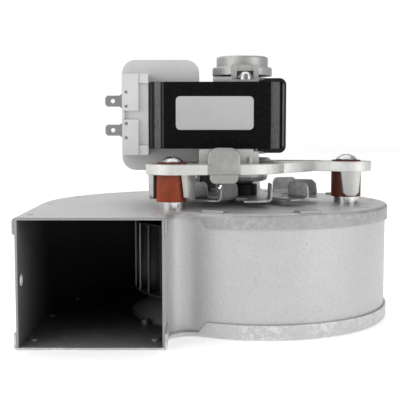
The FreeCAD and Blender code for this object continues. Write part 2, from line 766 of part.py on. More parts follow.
# ---------------------------------------------------------------------------------------------------------
# Legs: bushes, sleeves, screws
# ---------------------------------------------------------------------------------------------------------
def make_legs():
    collar_top = "(housing_height + collar_height)"
    sleeve_top = f"({BRACKET_TOP} + bush_top_height + 0.3)"
    sleeves = []
    screws = []
    for index, label in enumerate(("bush_right", "bush_back", "bush_front_left")):
        x, y = leg_place(index)
        parts = []
        for name, radius, low, top in (
                ("Body", "bush_radius", collar_top, "bracket_bottom"),
                ("Neck", "bush_neck_radius", "bracket_bottom", BRACKET_TOP),
                ("Band", "bush_top_radius", BRACKET_TOP, f"{BRACKET_TOP} + bush_top_height")):
            parts.append(primitive("Cylinder", f"Bush{name}{index}", Radius=radius, x=x, y=y, z=low,
                                   Height=f"{top} - ({low})"))
        core = primitive("Cylinder", f"BushBore{index}", Radius="sleeve_radius", Height="30", x=x, y=y,
                         z=f"{collar_top} - 1")
        keep(subtract(f"Bush{index}", join(f"BushSolid{index}", parts), core), label)
        collar = primitive("Cylinder", f"Collar{index}", Radius="collar_radius", Height="collar_height",
                           x=x, y=y, z="housing_height")
        stem = primitive("Cylinder", f"Stem{index}", Radius="sleeve_radius", x=x, y=y, z=collar_top,
                         Height=f"{sleeve_top} - {collar_top}")
        bore = primitive("Cylinder", f"SleeveBore{index}", Radius="sleeve_bore", Height="40", x=x, y=y,
                         z="housing_height - 1")
        sleeves.append(subtract(f"Sleeve{index}", join(f"SleeveSolid{index}", [collar, stem]), bore))
        screws.append(make_screw(index, x, y, sleeve_top))
    group("bush_sleeves", sleeves)
    group("leg_screws", screws)


def make_screw(index, x, y, seat):
    """Pan-head screw with a cross recess: a domed head on a plain shank."""
    shank = primitive("Cylinder", f"Shank{index}", Radius="screw_radius", x=x, y=y,
                      z="housing_height - sheet - nut_height - 1",
                      Height=f"{seat} - (housing_height - sheet - nut_height - 1)")
    head = primitive("Cylinder", f"HeadRim{index}", Radius="screw_head_radius", x=x, y=y, z=seat,
                     Height="screw_head_height")
    dome = primitive("Sphere", f"HeadDome{index}", Radius="screw_head_radius * 1.3", x=x, y=y,
                     z=f"{seat} + screw_head_height - screw_head_radius * 1.3")
    crown = doc.addObject("Part::Common", f"HeadCrown{index}")
    crown.Base = head
    crown.Tool = dome
    slots = []
    for name, length, width in (("Long", "4.6", "1.1"), ("Wide", "1.1", "4.6")):
        slots.append(primitive("Box", f"Cross{name}{index}", Length=length, Width=width, Height="3",
                               x=f"{x} - {length} / 2", y=f"{y} - {width} / 2",
                               z=f"{seat} + screw_head_height - 1.3"))
    return subtract(f"Screw{index}", join(f"ScrewSolid{index}", [shank, crown]),
                    join(f"Cross{index}", slots))


# ---------------------------------------------------------------------------------------------------------
# Cast motor bracket
# ---------------------------------------------------------------------------------------------------------
def draw_arm(sketch):
    """One arm seen from above: the leg's ring and the lobe beside the hub, wrapped by two tangents."""
    ring = FreeCAD.Vector(*[value(text) for text in leg_place(0)], 0)
    turned = math.radians(value("leg_angle + lobe_angle"))
    circle = value("lobe_circle")
    lobe = FreeCAD.Vector(circle * math.cos(turned), circle * math.sin(turned), 0)
    small = value("ring_radius")
    large = value("lobe_radius")
    apart = ring - lobe
    lean = math.acos((large - small) / apart.Length)
    heading = math.atan2(apart.y, apart.x)
    corners = []
    for centre, radius in ((lobe, large), (ring, small)):
        corners.append([centre + FreeCAD.Vector(radius * math.cos(heading + side * lean),
                                                radius * math.sin(heading + side * lean), 0)
                        for side in (1, -1)])
    (lobe_left, lobe_right), (ring_left, ring_right) = corners
    up = FreeCAD.Vector(0, 0, 1)
    lobe_arc = sketch.addGeometry(Part.ArcOfCircle(Part.Circle(lobe, up, large), heading + lean,
                                                   heading - lean + 2 * math.pi))
    right = sketch.addGeometry(Part.LineSegment(lobe_right, ring_right))
    ring_arc = sketch.addGeometry(Part.ArcOfCircle(Part.Circle(ring, up, small), heading - lean,
                                                   heading + lean))
    left = sketch.addGeometry(Part.LineSegment(ring_left, lobe_left))
    for first, end, second, start in ((lobe_arc, 2, right, 1), (right, 2, ring_arc, 1),
                                      (ring_arc, 2, left, 1), (left, 2, lobe_arc, 1)):
        sketch.addConstraint(Sketcher.Constraint("Tangent", first, end, second, start))
    fix_point(sketch, lobe_arc, 3, "lobe_circle * cos(leg_angle + lobe_angle)",
              "lobe_circle * sin(leg_angle + lobe_angle)")
    fix_point(sketch, ring_arc, 3, *leg_place(0))
    for curve, text in ((lobe_arc, "lobe_radius"), (ring_arc, "ring_radius")):
        index = sketch.addConstraint(Sketcher.Constraint("Radius", curve, value(text)))
        sketch.setExpression(f"Constraints[{index}]", bound(text))


def on_arm(along, side):
    """A point of the first arm: so far from the shaft towards the leg, and so far beside that line."""
    return (f"({along}) * cos(leg_angle) - ({side}) * sin(leg_angle)",
            f"({along}) * sin(leg_angle) + ({side}) * cos(leg_angle)")


def make_tongue(name, leg, side):
    """A tapered tongue that hangs beside a bush and follows its curve."""
    width = "tongue_top_width"
    wall = tube(name + "Wall", "tongue_reach", "tongue_reach - tongue_thickness", "tongue_bottom",
                "bracket_bottom - tongue_bottom + 0.5")
    face = doc.addObject("Part::Feature", name + "Outline")
    top = value("bracket_bottom + 0.5")
    low = value("tongue_bottom")
    half_top = value(width) / 2
    half_low = value("tongue_bottom_width") / 2
    corner = 1.6
    outline = Part.makePolygon([FreeCAD.Vector(0, y, z) for y, z in (
        (-half_top, top), (-half_low - 0.2, low + corner), (-half_low + corner, low),
        (half_low - corner, low), (half_low + 0.2, low + corner), (half_top, top), (-half_top, top))])
    face.Shape = Part.Face(outline).extrude(FreeCAD.Vector(value("tongue_reach") + 2, 0, 0))
    tongue = doc.addObject("Part::Common", name)
    tongue.Base = wall
    tongue.Tool = face
    x, y = (value(text) for text in leg_place(leg))
    angle = value(f"leg_angle + {leg * 360 // LEGS} + tongue_angle") + 180 * side
    tongue.Placement = FreeCAD.Placement(FreeCAD.Vector(x, y, 0),
                                         FreeCAD.Rotation(FreeCAD.Vector(0, 0, 1), angle))
    return tongue


def make_lug():
    """The front lug: a broad block with round shoulders above the plate, and a narrower foot below it."""
    blocks = []
    for name, width, low, high, corner, upper in (
            ("Head", "lug_width", "bracket_bottom", "lug_top", 4.4, True),
            ("Foot", "lug_foot_width", "lug_bottom", "bracket_bottom + 1", 2.6, False)):
        block = primitive("Box", f"Lug{name}Block", Length=width, Width="lug_depth",
                          Height=f"{high} - ({low})", x=f"lug_x - {width} / 2", y="lug_y - lug_depth / 2",
                          z=low)
        rounded = doc.addObject("Part::Fillet", f"Lug{name}")
        rounded.Base = block
        doc.recompute()
        level = value(high) if upper else value(low)
        chosen = []
        for index, edge in enumerate(block.Shape.Edges, start=1):
            box = edge.BoundBox
            if box.YLength > 1 and abs(box.ZMin - level) < 1e-6:
                chosen.append((index, corner, corner))
            elif box.ZLength > 1 or (box.XLength > 1 and abs(box.ZMin - level) < 1e-6):
                chosen.append((index, 0.7, 0.7))
        rounded.Edges = chosen
        blocks.append(rounded)
    return join("Lug", blocks)


def make_bracket():
    body = doc.addObject("PartDesign::Body", "BracketPlate")
    centre = new_sketch(body, "BracketCentre", "bracket_bottom")
    draw_circle(centre, "centre_radius")
    pad(body, centre, "bracket_thickness")
    arm = new_sketch(body, "BracketArm", "bracket_bottom")
    draw_arm(arm)
    around(body, [pad(body, arm, "bracket_thickness")], LEGS)
    neck = new_sketch(body, "BracketNeck", "bracket_bottom")
    reach = "(leg_circle - 4)"
    near_side = "0 - neck_width / 2"
    far_side = "neck_width / 2"
    draw_polygon(neck, [on_arm(along, side) for along, side in (
        ("20", near_side), (reach, near_side), (reach, far_side), ("20", far_side))])
    around(body, [pad(body, neck, "bracket_thickness")], LEGS)
    # Behind the right arm the plate is cut back to the arm's own width.
    relief = new_sketch(body, "BracketRelief", "bracket_bottom")
    draw_polygon(relief, [
        on_arm("cup_rim_radius + 0.4", far_side), on_arm("leg_circle - 9.6", far_side),
        on_arm("leg_circle - 6.1", "ring_radius - 1.4"), on_arm("leg_circle - 1.6", "ring_radius + 0.2"),
        on_arm("leg_circle - 1.6", "40"), ("relief_left", "50"), ("relief_left", "cup_rim_radius + 3"),
        ("relief_left + 5", "cup_rim_radius - 2.2")])
    pocket(body, relief, "bracket_thickness", upward=True)
    # Each arm is sunk on top, so that a low rim stands along its edges.
    tray = new_sketch(body, "BracketTray", BRACKET_TOP)
    draw_polygon(tray, [on_arm(along, side) for along, side in (
        ("cup_rim_radius + 2", f"{near_side} + 1.2"), ("leg_circle - ring_radius", f"{near_side} + 1.2"),
        ("leg_circle - ring_radius", f"{far_side} - 1.2"), ("cup_rim_radius + 2", f"{far_side} - 1.2"))])
    around(body, [pocket(body, tray, "tray_depth")], LEGS)
    ring_hole = new_sketch(body, "RingHole", "bracket_bottom")
    draw_circle(ring_hole, "bush_neck_radius", *leg_place(0))
    around(body, [pocket(body, ring_hole, "bracket_thickness", upward=True)], LEGS)
    cup = new_sketch(body, "BearingCup", role="XZ_Plane")
    draw_polygon(cup, [
        ("shaft_radius + 2", "cup_bottom"), ("cup_radius - 2.4", "cup_bottom"),
        ("cup_radius - 0.7", "cup_bottom + 0.7"), ("cup_radius", "cup_bottom + 2.4"),
        ("cup_radius", "bracket_bottom + 1"), ("cup_rim_radius", "bracket_bottom + 1"),
        ("cup_rim_radius", f"{BRACKET_TOP} + 0.2"),
        ("cup_rim_radius - 1", f"{BRACKET_TOP} + cup_rim_height"),
        ("shaft_radius + 2", f"{BRACKET_TOP} + cup_rim_height")])
    revolve(body, cup)
    seat = new_sketch(body, "BearingSeat", role="XZ_Plane")
    draw_polygon(seat, [
        ("0", "cup_bottom - 1"), ("shaft_radius + 0.6", "cup_bottom - 1"),
        ("shaft_radius + 0.6", "cup_bottom + cup_floor"), ("bearing_radius - 1.5", "cup_bottom + cup_floor"),
        ("bearing_radius - 1.5", "lower_bearing"), ("bearing_radius", "lower_bearing"),
        ("bearing_radius", f"{BRACKET_TOP} + cup_rim_height + 1"),
        ("0", f"{BRACKET_TOP} + cup_rim_height + 1")])
    groove(body, seat)
    parts = [body, make_lug()]
    for name, left, mirrored in (("Front", "0 - 21.4", False), ("Back", "0 - 9.2", True)):
        parts.append(seat_block(name, left, mirrored))
    for leg in range(LEGS):
        for side in (0, 1):
            parts.append(make_tongue(f"Tongue{leg}{side}", leg, side))
    solid = join("BracketSolid", parts)
    notch = primitive("Box", "CoilNotch", Length="30", Width="2 * (yoke_inner + 0.9)",
                      Height="bracket_thickness + 2", x="0 - coil_right - 28.3", y="0 - yoke_inner - 0.9",
                      z="bracket_bottom - 1")
    drills = [primitive("Cylinder", f"BoltThread{name}", Radius="bolt_radius", Height="16",
                        x=f"{flip} * bolt_x", y=f"{flip} * bolt_y", z="stack_bottom - 15")
              for name, flip in (("Front", "(0 - 1)"), ("Back", "1"))]
    return keep(subtract("MotorBracket", solid, join("BracketCuts", drills + [notch])), "motor_bracket")


def seat_block(name, left, mirrored):
    """The raised seat that the stack stands on, with its stiffening rib and its locating boss."""
    block = primitive("Box", f"Seat{name}", Length=f"3.6 - ({left})", Width="21",
                      Height=f"stack_bottom - {BRACKET_TOP} + 1",
                      x=left, y="0 - 37.5", z=f"{BRACKET_TOP} - 1")
    rib = primitive("Box", f"SeatRib{name}", Length="2.4", Width="20", Height=f"stack_bottom - {BRACKET_TOP}",
                    x="3.6", y="0 - 37.5", z=f"{BRACKET_TOP} - 1")
    boss = primitive("Cylinder", f"SeatBoss{name}", Radius="1.1", Height="4.2", x="2", y="0 - 38",
                     z=f"{BRACKET_TOP} - 1")
    whole = join(f"SeatBlock{name}", [block, rib, boss])
    if not mirrored:
        return whole
    other = doc.addObject("Part::Mirroring", f"SeatMirror{name}")
    other.Source = whole
    other.Normal = (0, 1, 0)
    return other


# ---------------------------------------------------------------------------------------------------------
# Motor
# ---------------------------------------------------------------------------------------------------------
def shading_loop(name, index, flip, grow="0"):
    """One copper loop round part of a pole; grow widens it into the hole that it sits in."""
    wire = f"(shading_wire + 2 * {grow})"
    outside = primitive("Box", name + "Outside", Length=f"shading_out - shading_in + 2 * {grow}", Width=wire,
                        Height="stack_height + 2 * shading_wire")
    inside = primitive("Box", name + "Inside", Length=f"shading_out - shading_in - 2 * {wire} + 2 * {grow}",
                       Width="10", Height="stack_height")
    radial = value(f"shading_in - {grow}")
    thick = value(wire)
    base = value("stack_bottom")
    turned = value("shading_angle") + index * value("shading_step") + (180 if flip else 0)
    spin = FreeCAD.Rotation(FreeCAD.Vector(0, 0, 1), turned)
    for block, out in ((outside, FreeCAD.Vector(radial, -thick / 2, base - value("shading_wire"))),
                       (inside, FreeCAD.Vector(radial + thick, -5, base))):
        block.Placement = FreeCAD.Placement(spin.multVec(out), spin)
    return subtract(name, outside, inside)


def make_stack():
    body = doc.addObject("PartDesign::Body", "StackBlank")
    frame = new_sketch(body, "StackFrame", "stack_bottom")
    draw_box(frame, "0 - stack_left", "0 - stack_half_depth", "stack_right", "stack_half_depth")
    pad(body, frame, "stack_height")
    def upright_corner(edge):
        return edge.BoundBox.ZLength > 1
    round_edges(body, upright_corner, "2.4")
    window = new_sketch(body, "StackWindow", "stack_bottom")
    draw_box(window, "0 - stack_left - 1", "0 - yoke_inner", "0 - window_right", "yoke_inner")
    pocket(body, window, "stack_height", upward=True)
    bore = new_sketch(body, "RotorBore", "stack_bottom")
    draw_circle(bore, "rotor_radius + air_gap")
    for flip in ("(0 - 1)", "1"):
        draw_circle(bore, "bolt_radius + 0.2", f"{flip} * bolt_x", f"{flip} * bolt_y")
    pocket(body, bore, "stack_height", upward=True)
    grooves = new_sketch(body, "StackGrooves", "stack_bottom")
    for x, width in (("43.3", "1"), ("39.2", "0.6")):
        draw_box(grooves, f"0 - {x}", "0 - stack_half_depth - 1", f"0 - {x} + {width}",
                 "0 - stack_half_depth + 0.8")
    pocket(body, grooves, "stack_height", upward=True)
    holes = [shading_loop(f"Hole{i}{flip}", i, flip, "0.05") for flip in (0, 1) for i in (0, 1)]
    keep(subtract("StatorStack", body, join("ShadingHoles", holes)), "stator_stack")
    group("shading_rings", [shading_loop(f"Loop{i}{flip}", i, flip) for flip in (0, 1) for i in (0, 1)])
    core = primitive("Box", "CoilCore", Length="stack_left - leg_inner", Width="2 * yoke_inner",
                     Height="stack_height", x="0 - stack_left", y="0 - yoke_inner", z="stack_bottom")
    keep(core, "coil_core")


def rounded_block(name, left, front, low, right, back, high, corner):
    """A box whose four edges along Y are rounded."""
    block = primitive("Box", name + "Block", Length=f"{right} - ({left})", Width=f"{back} - ({front})",
                      Height=f"{high} - ({low})", x=left, y=front, z=low)
    rounded = doc.addObject("Part::Fillet", name)
    rounded.Base = block
    doc.recompute()
    shortest = min(edge.BoundBox.YLength for edge in block.Shape.Edges if edge.BoundBox.YLength > 1e-6)
    rounded.Edges = [(i, value(corner), value(corner)) for i, edge in enumerate(block.Shape.Edges, start=1)
                     if edge.BoundBox.YLength > shortest / 2]
    return rounded


def make_coil():
    """White moulded bobbin (two cheeks on a tube), the copper winding, and the cover around it."""
    left = "(0 - coil_left)"
    right = "(0 - coil_right)"
    half = "(yoke_inner - 0.3)"
    cheek = f"({half} - bobbin_cheek)"
    cheeks = [rounded_block("CheekFront", left, f"0 - {half}", "coil_bottom", right, f"0 - {cheek}",
                            "coil_top", "coil_corner"),
              rounded_block("CheekBack", left, cheek, "coil_bottom", right, half, "coil_top", "coil_corner")]
    gap = "0.3"
    sleeve = primitive("Box", "BobbinTube", Length=f"stack_left - leg_inner + 2 * ({gap} + bobbin_wall)",
                       Width=f"2 * {half}", Height=f"stack_height + 2 * ({gap} + bobbin_wall)",
                       x=f"0 - stack_left - {gap} - bobbin_wall", y=f"0 - {half}",
                       z=f"stack_bottom - {gap} - bobbin_wall")
    hole = primitive("Box", "BobbinHole", Length=f"stack_left - leg_inner + 2 * {gap}",
                     Width=f"2 * {half} + 2", Height=f"stack_height + 2 * {gap}",
                     x=f"0 - stack_left - {gap}", y=f"0 - {half} - 1", z=f"stack_bottom - {gap}")
    keep(subtract("CoilBobbin", join("BobbinSolid", cheeks + [sleeve]), hole), "coil_bobbin")
    skin = "1.6"
    outer = rounded_block("CoverBlock", left, f"0 - {cheek} + 0.02", "coil_bottom", right,
                          f"{cheek} - 0.02", "coil_top", "coil_corner")
    inner = rounded_block("CoverRoom", f"{left} + {skin}", f"0 - {cheek} - 1", f"coil_bottom + {skin}",
                          f"{right} - {skin}", f"{cheek} + 1", f"coil_top - {skin}", f"coil_corner - {skin}")
    keep(subtract("CoilCover", outer, inner), "coil_cover")
    wound = rounded_block("WoundBlock", f"{left} + {skin} + 0.2", f"0 - {cheek} + 0.2",
                          f"coil_bottom + {skin} + 0.2", f"{right} - {skin} - 0.2", f"{cheek} - 0.2",
                          f"coil_top - {skin} - 0.2", "4.6")
    eye = primitive("Box", "WoundEye", Length="stack_left - leg_inner + 2 * (0.4 + bobbin_wall)",
                    Width="40", Height="stack_height + 2 * (0.4 + bobbin_wall)",
                    x="0 - stack_left - 0.4 - bobbin_wall", y="0 - 20", z="stack_bottom - 0.4 - bobbin_wall")
    keep(subtract("CoilWinding", wound, eye), "coil_winding")


def make_terminal_block():
    """White block on the coil's front, beside the stack: a back plate, two boxes and two corner blocks."""
    front = "(0 - stack_half_depth)"
    back = "(0 - yoke_inner + 0.3)"
    edge = "0 - block_left"
    step = "0 - block_step"
    parts = []
    for name, left, right, inset, low, high in (
            ("Back", edge, "0 - block_right", "2.4", "block_bottom", "block_top"),
            ("LeftWall", edge, f"{edge} + 1.2", "0.8", "block_bottom + 16", "block_top - 17"),
            ("UpperBox", edge, step, "0", "block_top - 17.5", "block_top"),
            ("LowerBox", edge, step, "0", "block_bottom", "block_bottom + 16.8"),
            ("UpperCorner", f"{step} - 1", "0 - block_right", "0.7", "block_top - 4.7", "block_top"),
            ("LowerCorner", f"{step} - 1", "0 - block_right", "0.7", "block_bottom", "block_bottom + 4.7")):
        parts.append(primitive("Box", f"Terminal{name}", Length=f"{right} - ({left})",
                               Width=f"{back} - {front} - {inset}", Height=f"{high} - ({low})",
                               x=left, y=f"{front} + {inset}", z=low))
    cuts = []
    for name, low, drop in (("Upper", "spade_upper", "0"), ("Lower", "spade_lower", "1")):
        cuts.append(primitive("Box", f"TabSlot{name}", Length="4.75", Width="0.9",
                              Height="spade_height + 0.2", x=f"{edge} - 0.1", y=f"{front} + 5.95",
                              z=f"{low} - 0.1"))
        for side, rise in (("Low", "0 - 0.5"), ("High", "spade_height + 0.9")):
            cuts.append(primitive("Box", f"Notch{name}{side}", Length="1.3", Width="1.2", Height="1.2",
                                  x=f"{edge} + 1.3", y=f"{front} - 0.1", z=f"{low} + {rise} - {drop}"))
    keep(subtract("TerminalBlock", join("TerminalSolid", parts), join("TerminalCuts", cuts)),
         "terminal_block")


def make_spade_terminals():
    """Flat tabs: a bevelled tip with a hole, and sloping shoulders against the block."""
    for label, low in (("spade_terminal_upper", "spade_upper"), ("spade_terminal_lower", "spade_lower")):
        body = new_body(label)
        blade = new_sketch(body, label.title().replace("_", "") + "Blade", "stack_half_depth - 6.8",
                           role="XZ_Plane")
        high = f"({low} + spade_height)"
        tip = "0 - spade_tip"
        shoulder = "0 - block_left - 1.9"
        mouth = "0 - block_left - 0.1"
        end = "0 - 52.8"
        draw_polygon(blade, [
            (tip, f"{low} + 1.1"), (f"{tip} + 1", low), (shoulder, low), (mouth, f"{low} - 1"), (mouth, low),
            (end, low), (end, high), (mouth, high), (mouth, f"{high} + 1"), (shoulder, high),
            (f"{tip} + 1", high), (tip, f"{high} - 1.1")])
        draw_circle(blade, "1", "0 - spade_tip + 3.6", f"{low} + spade_height / 2")
        pad(body, blade, "0.8")


def make_front_pieces():
    front = "(0 - stack_half_depth)"
    cover = rounded_block("FrontCover", "0 - cover_left", f"{front} - cover_sheet", "stack_bottom",
                          "cover_right", front, STACK_TOP, "0.6")
    keep(cover, "front_cover")
    plate = rounded_block("LabelPlate", "0 - label_left", f"{front} - cover_sheet - 0.3", "label_bottom",
                          "label_right", f"{front} - cover_sheet", "label_top", "2")
    keep(plate, "label_plate")
    outer = rounded_block("ClipOuter", "clip_left", front, "stack_bottom - clip_sheet - 0.3",
                          "stack_right + clip_sheet + 0.2", f"{front} + clip_back",
                          f"{STACK_TOP} + clip_sheet", "3.2")
    inner = primitive("Box", "ClipInner", Length="stack_right + 0.2 - clip_left + 1", Width="clip_back + 2",
                      Height="stack_height", x="clip_left - 1", y=f"{front} - 1", z="stack_bottom")
    keep(subtract("EndClip", outer, inner), "stack_end_clip")


def make_upper_bracket():
    body = doc.addObject("PartDesign::Body", "CapTurned")
    cap = new_sketch(body, "CapProfile", role="XZ_Plane")
    draw_polygon(cap, [
        ("bearing_radius", "flange_bottom"), ("flange_radius", "flange_bottom"),
        ("flange_radius", "flange_top - 0.5"), ("flange_radius - 0.5", "flange_top"),
        ("cap_radius", "flange_top"), ("cap_radius", "cap_top - 0.9"), ("cap_radius - 0.3", "cap_top - 0.3"),
        ("cap_radius - 1", "cap_top"), ("0", "cap_top"), ("0", "shaft_top + 0.4"),
        ("bearing_radius - 1.5", "shaft_top + 0.4"),
        ("bearing_radius - 1.5", "upper_bearing + bearing_width"),
        ("bearing_radius", "upper_bearing + bearing_width")])
    revolve(body, cap)
    parts = [body]
    holes = []
    for name, flip in (("Front", 0), ("Back", 180)):
        foot = primitive("Box", f"Foot{name}", Length="20.9", Width="9.4", Height="clamp_sheet", x="0 - 14",
                         y="0 - 24.2", z=STACK_TOP)
        raised = primitive("Box", f"FootPad{name}", Length="8.8", Width="9.4", Height="clamp_sheet + 1.3",
                           x="0 - 14.7", y="0 - 24.2", z=STACK_TOP)
        posts = [primitive("Box", f"Post{side}{name}", Length="2.5", Width="6.3",
                           Height=f"flange_top + 0.4 - {STACK_TOP}", x=x, y="0 - 19.5", z=STACK_TOP)
                 for side, x in (("Left", "0 - 5.9"), ("Right", "4.4"))]
        bar = primitive("Box", f"TopBar{name}", Length="12.8", Width="5", Height="3", x="0 - 5.9",
                        y="0 - 18.2", z="flange_top - 2.6")
        hole = primitive("Cylinder", f"FootHole{name}", Radius="bolt_radius + 0.2", Height="4",
                         x="0 - bolt_x", y="0 - bolt_y", z=f"{STACK_TOP} - 1")
        for piece in [foot, raised, bar, hole] + posts:
            if flip:
                doc.recompute()
                piece.setExpression(".Placement.Base.x", None)
                piece.setExpression(".Placement.Base.y", None)
                turn(piece, flip)
        parts += [foot, raised, bar] + posts
        holes.append(hole)
    keep(subtract("UpperBracket", join("UpperSolid", parts), join("UpperHoles", holes)),
         "upper_bearing_bracket")


def make_through_bolts():
    bolts = []
    seat = f"({STACK_TOP} + clamp_sheet)"
    for name, flip in (("Front", "(0 - 1)"), ("Back", "1")):
        place = {"x": f"{flip} * bolt_x", "y": f"{flip} * bolt_y"}
        shank = primitive("Cylinder", f"BoltShank{name}", Radius="bolt_radius - 0.05", z="stack_bottom - 9",
                          Height=f"{seat} - (stack_bottom - 9)", **place)
        washer = primitive("Cylinder", f"BoltWasher{name}", Radius="bolt_head_radius", z=seat, Height="1.9",
                           **place)
        rim = primitive("Cylinder", f"BoltHeadRim{name}", Radius="bolt_head_radius - 0.6", z=seat,
                        Height="bolt_head_height", **place)
        dome = primitive("Sphere", f"BoltDome{name}", Radius="bolt_head_radius + 0.2",
                         z=f"{seat} + bolt_head_height - bolt_head_radius - 0.2", **place)
        head = doc.addObject("Part::Common", f"BoltHead{name}")
        head.Base = rim
        head.Tool = dome
        bolts.append(join(f"Bolt{name}", [shank, washer, head]))
    group("through_bolts", bolts)


# ---------------------------------------------------------------------------------------------------------
# Cooling fan
# ---------------------------------------------------------------------------------------------------------
def make_cooling_fan():
    """A sheet disc cut into sectors, each with its trailing edge bent up into a vane."""
    body = doc.addObject("PartDesign::Body", "FanCore")
    disc = new_sketch(body, "FanDisc", "fan_bottom")
    draw_circle(disc, "fan_core_radius")
    draw_circle(disc, "shaft_radius + 1.5")
    pad(body, disc, "fan_sheet")
    radius = value("fan_radius")
    inner = value("fan_core_radius") - 1
    length = value("vane_length")
    sheet = value("fan_sheet")
    outer = value("fan_sheet + fan_bend")
    base = FreeCAD.Vector(0, 0, value("fan_bottom"))
    up = FreeCAD.Vector(0, 0, 1)
    rise = value("vane_height + fan_sheet")
    start = math.radians(FAN_START)
    end = start + math.radians(FAN_SECTOR)
    middle = (start + end) / 2

    def polar(size, angle):
        return base + FreeCAD.Vector(size * math.cos(angle), size * math.sin(angle), 0)

    edge = polar(radius, end)
    inward = end + math.pi - math.radians(value("vane_skew"))
    along = FreeCAD.Vector(math.cos(inward), math.sin(inward), 0)
    across = FreeCAD.Vector(-along.y, along.x, 0)

    def section(side, height):
        return edge + across * side + up * height

    lean = math.sqrt(0.5)
    flat = Part.makePolygon([polar(inner, start + 0.12), polar(radius, start), polar(radius, middle),
                             section(outer + 0.5, 0), section(outer + 0.5, 0) + along * length,
                             polar(inner, start + 0.12)])
    sector = Part.Face(flat).extrude(up * sheet)
    bend = value("fan_bend")
    edges = [
        Part.LineSegment(section(0, outer), section(0, rise)),
        Part.LineSegment(section(0, rise), section(sheet, rise)),
        Part.LineSegment(section(sheet, rise), section(sheet, outer)),
        Part.Arc(section(sheet, outer), section(outer - bend * lean, outer - bend * lean),
                 section(outer, sheet)),
        Part.LineSegment(section(outer, sheet), section(outer + 1, sheet)),
        Part.LineSegment(section(outer + 1, sheet), section(outer + 1, 0)),
        Part.LineSegment(section(outer + 1, 0), section(outer, 0)),
        Part.Arc(section(outer, 0), section(outer - outer * lean, outer - outer * lean),
                 section(0, outer))]
    profile = Part.Face(Part.Wire([line.toShape() for line in edges]))
    strip = profile.extrude(along * length)
    tip = value("vane_tip")
    side = Part.makePolygon([edge - across + along * out + up * height for out, height in (
        (0, -1), (0, outer), (0.5, rise - tip), (tip, rise - 0.4), (1.6 * tip, rise + 0.1),
        (length - tip, rise + 0.1), (length - 0.4 * tip, rise - 0.4 * tip), (length, rise - 1.2 * tip),
        (length, -1), (0, -1))])
    vane = strip.common(Part.Face(side).extrude(across * (outer + 4)))
    blade = sector.fuse(vane)
    blades = []
    for index in range(VANES):
        turned = blade.copy()
        turned.rotate(FreeCAD.Vector(), up, index * 360 / VANES)
        blades.append(turned)
    vanes = doc.addObject("Part::Feature", "FanVanes")
    vanes.Shape = blades[0].multiFuse(blades[1:])
    keep(join("CoolingFan", [body, vanes]), "cooling_fan")


def make_fan_hub():
    body = new_body("cooling_fan_hub")
    profile = new_sketch(body, "FanHubProfile", role="XZ_Plane")
    draw_polygon(profile, [
        ("shaft_radius", "fan_bottom - 1.4"), ("4.3", "fan_bottom - 1.4"), ("4.3", "fan_bottom + fan_sheet"),
        ("fan_hub_radius", "fan_bottom + fan_sheet"), ("fan_hub_radius", "fan_hub_top"),
        ("5.6", "fan_hub_top"), ("5.6", "fan_hub_top + 0.9"), ("shaft_radius", "fan_hub_top + 0.9")])
    revolve(body, profile)


# ---------------------------------------------------------------------------------------------------------
# Build, check, write
# ---------------------------------------------------------------------------------------------------------
make_top_plate()
make_bottom_plate()
make_scroll_wall()
make_clinch_nuts()
make_wheel_plates()
make_blades()
make_hub()
make_rivets()
make_shaft()
make_bearing("lower", "lower_bearing")
make_bearing("upper", "upper_bearing")
make_rotor()
make_legs()
make_bracket()
make_stack()
make_coil()
make_terminal_block()
make_spade_terminals()
make_front_pieces()
make_upper_bracket()
make_through_bolts()
make_cooling_fan()
make_fan_hub()
doc.recompute()

for item in doc.Objects:
    if "Invalid" in item.State or "Error" in item.State:
        raise RuntimeError(f"{item.Name} failed: {item.State}")
for label, node in nodes.items():
    if node.Shape.isNull() or not node.Shape.isValid():
        raise RuntimeError(f"{label} has no valid shape")

os.makedirs("parts", exist_ok=True)
for label, node in nodes.items():
    node.Shape.exportStep(f"parts/{label}.step")
    print(label, len(node.Shape.Solids), round(node.Shape.Volume, 1))
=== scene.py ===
"""Flue-gas blower of a gas boiler, dressed for a studio picture on top of its CAD frame."""
import bpy
import math
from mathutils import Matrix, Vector


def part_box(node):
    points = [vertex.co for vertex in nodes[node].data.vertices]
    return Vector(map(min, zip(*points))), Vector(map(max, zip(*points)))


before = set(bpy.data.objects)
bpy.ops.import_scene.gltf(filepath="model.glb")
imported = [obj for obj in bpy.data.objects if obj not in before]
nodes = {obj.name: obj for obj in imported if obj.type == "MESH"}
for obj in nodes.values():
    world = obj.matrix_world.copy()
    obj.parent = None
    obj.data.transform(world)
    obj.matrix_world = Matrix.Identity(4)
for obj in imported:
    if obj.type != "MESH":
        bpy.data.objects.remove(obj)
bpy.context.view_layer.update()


# ---------------------------------------------------------------------------------------------------------
# Places on the object that the materials follow, in metres
# ---------------------------------------------------------------------------------------------------------
wall_low, wall_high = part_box("scroll_wall")
plate_low, plate_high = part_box("housing_top_plate")
stack_low, stack_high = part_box("stator_stack")

SHEET = wall_low.z                                      # the wall stands on the bottom plate
HOUSING_TOP = plate_high.z
RIM_DEPTH = plate_high.z - plate_low.z
MOUTH = plate_low.y                                     # the outlet's open front
DUCT_LEFT = wall_low.x + SHEET / 2                      # the middle of the duct's left wall
DUCT_RIGHT = -0.0361                                    # and of its right wall
DRUM_CENTRE = (0.0085, -0.0005)
DRUM_RADIUS = wall_high.x - DRUM_CENTRE[0] - SHEET / 2  # to the middle of the wall
INLET_RADIUS = 0.055                                    # the base of the inlet cone
INLET_TOP = 0.012
WHEEL_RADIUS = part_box("wheel_front_ring")[1].x
BACK_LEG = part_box("bush_back")[0].y
BRACKET_BOTTOM = 0.0715                                 # the bracket's flat plate
BRACKET_TOP = 0.0761
LUG_MIDDLE = -0.0102                                    # the lug at the bracket's front, across
LUG_HALF = 0.00735
LUG_BACK = -0.0415
COVER_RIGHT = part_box("front_cover")[1].x

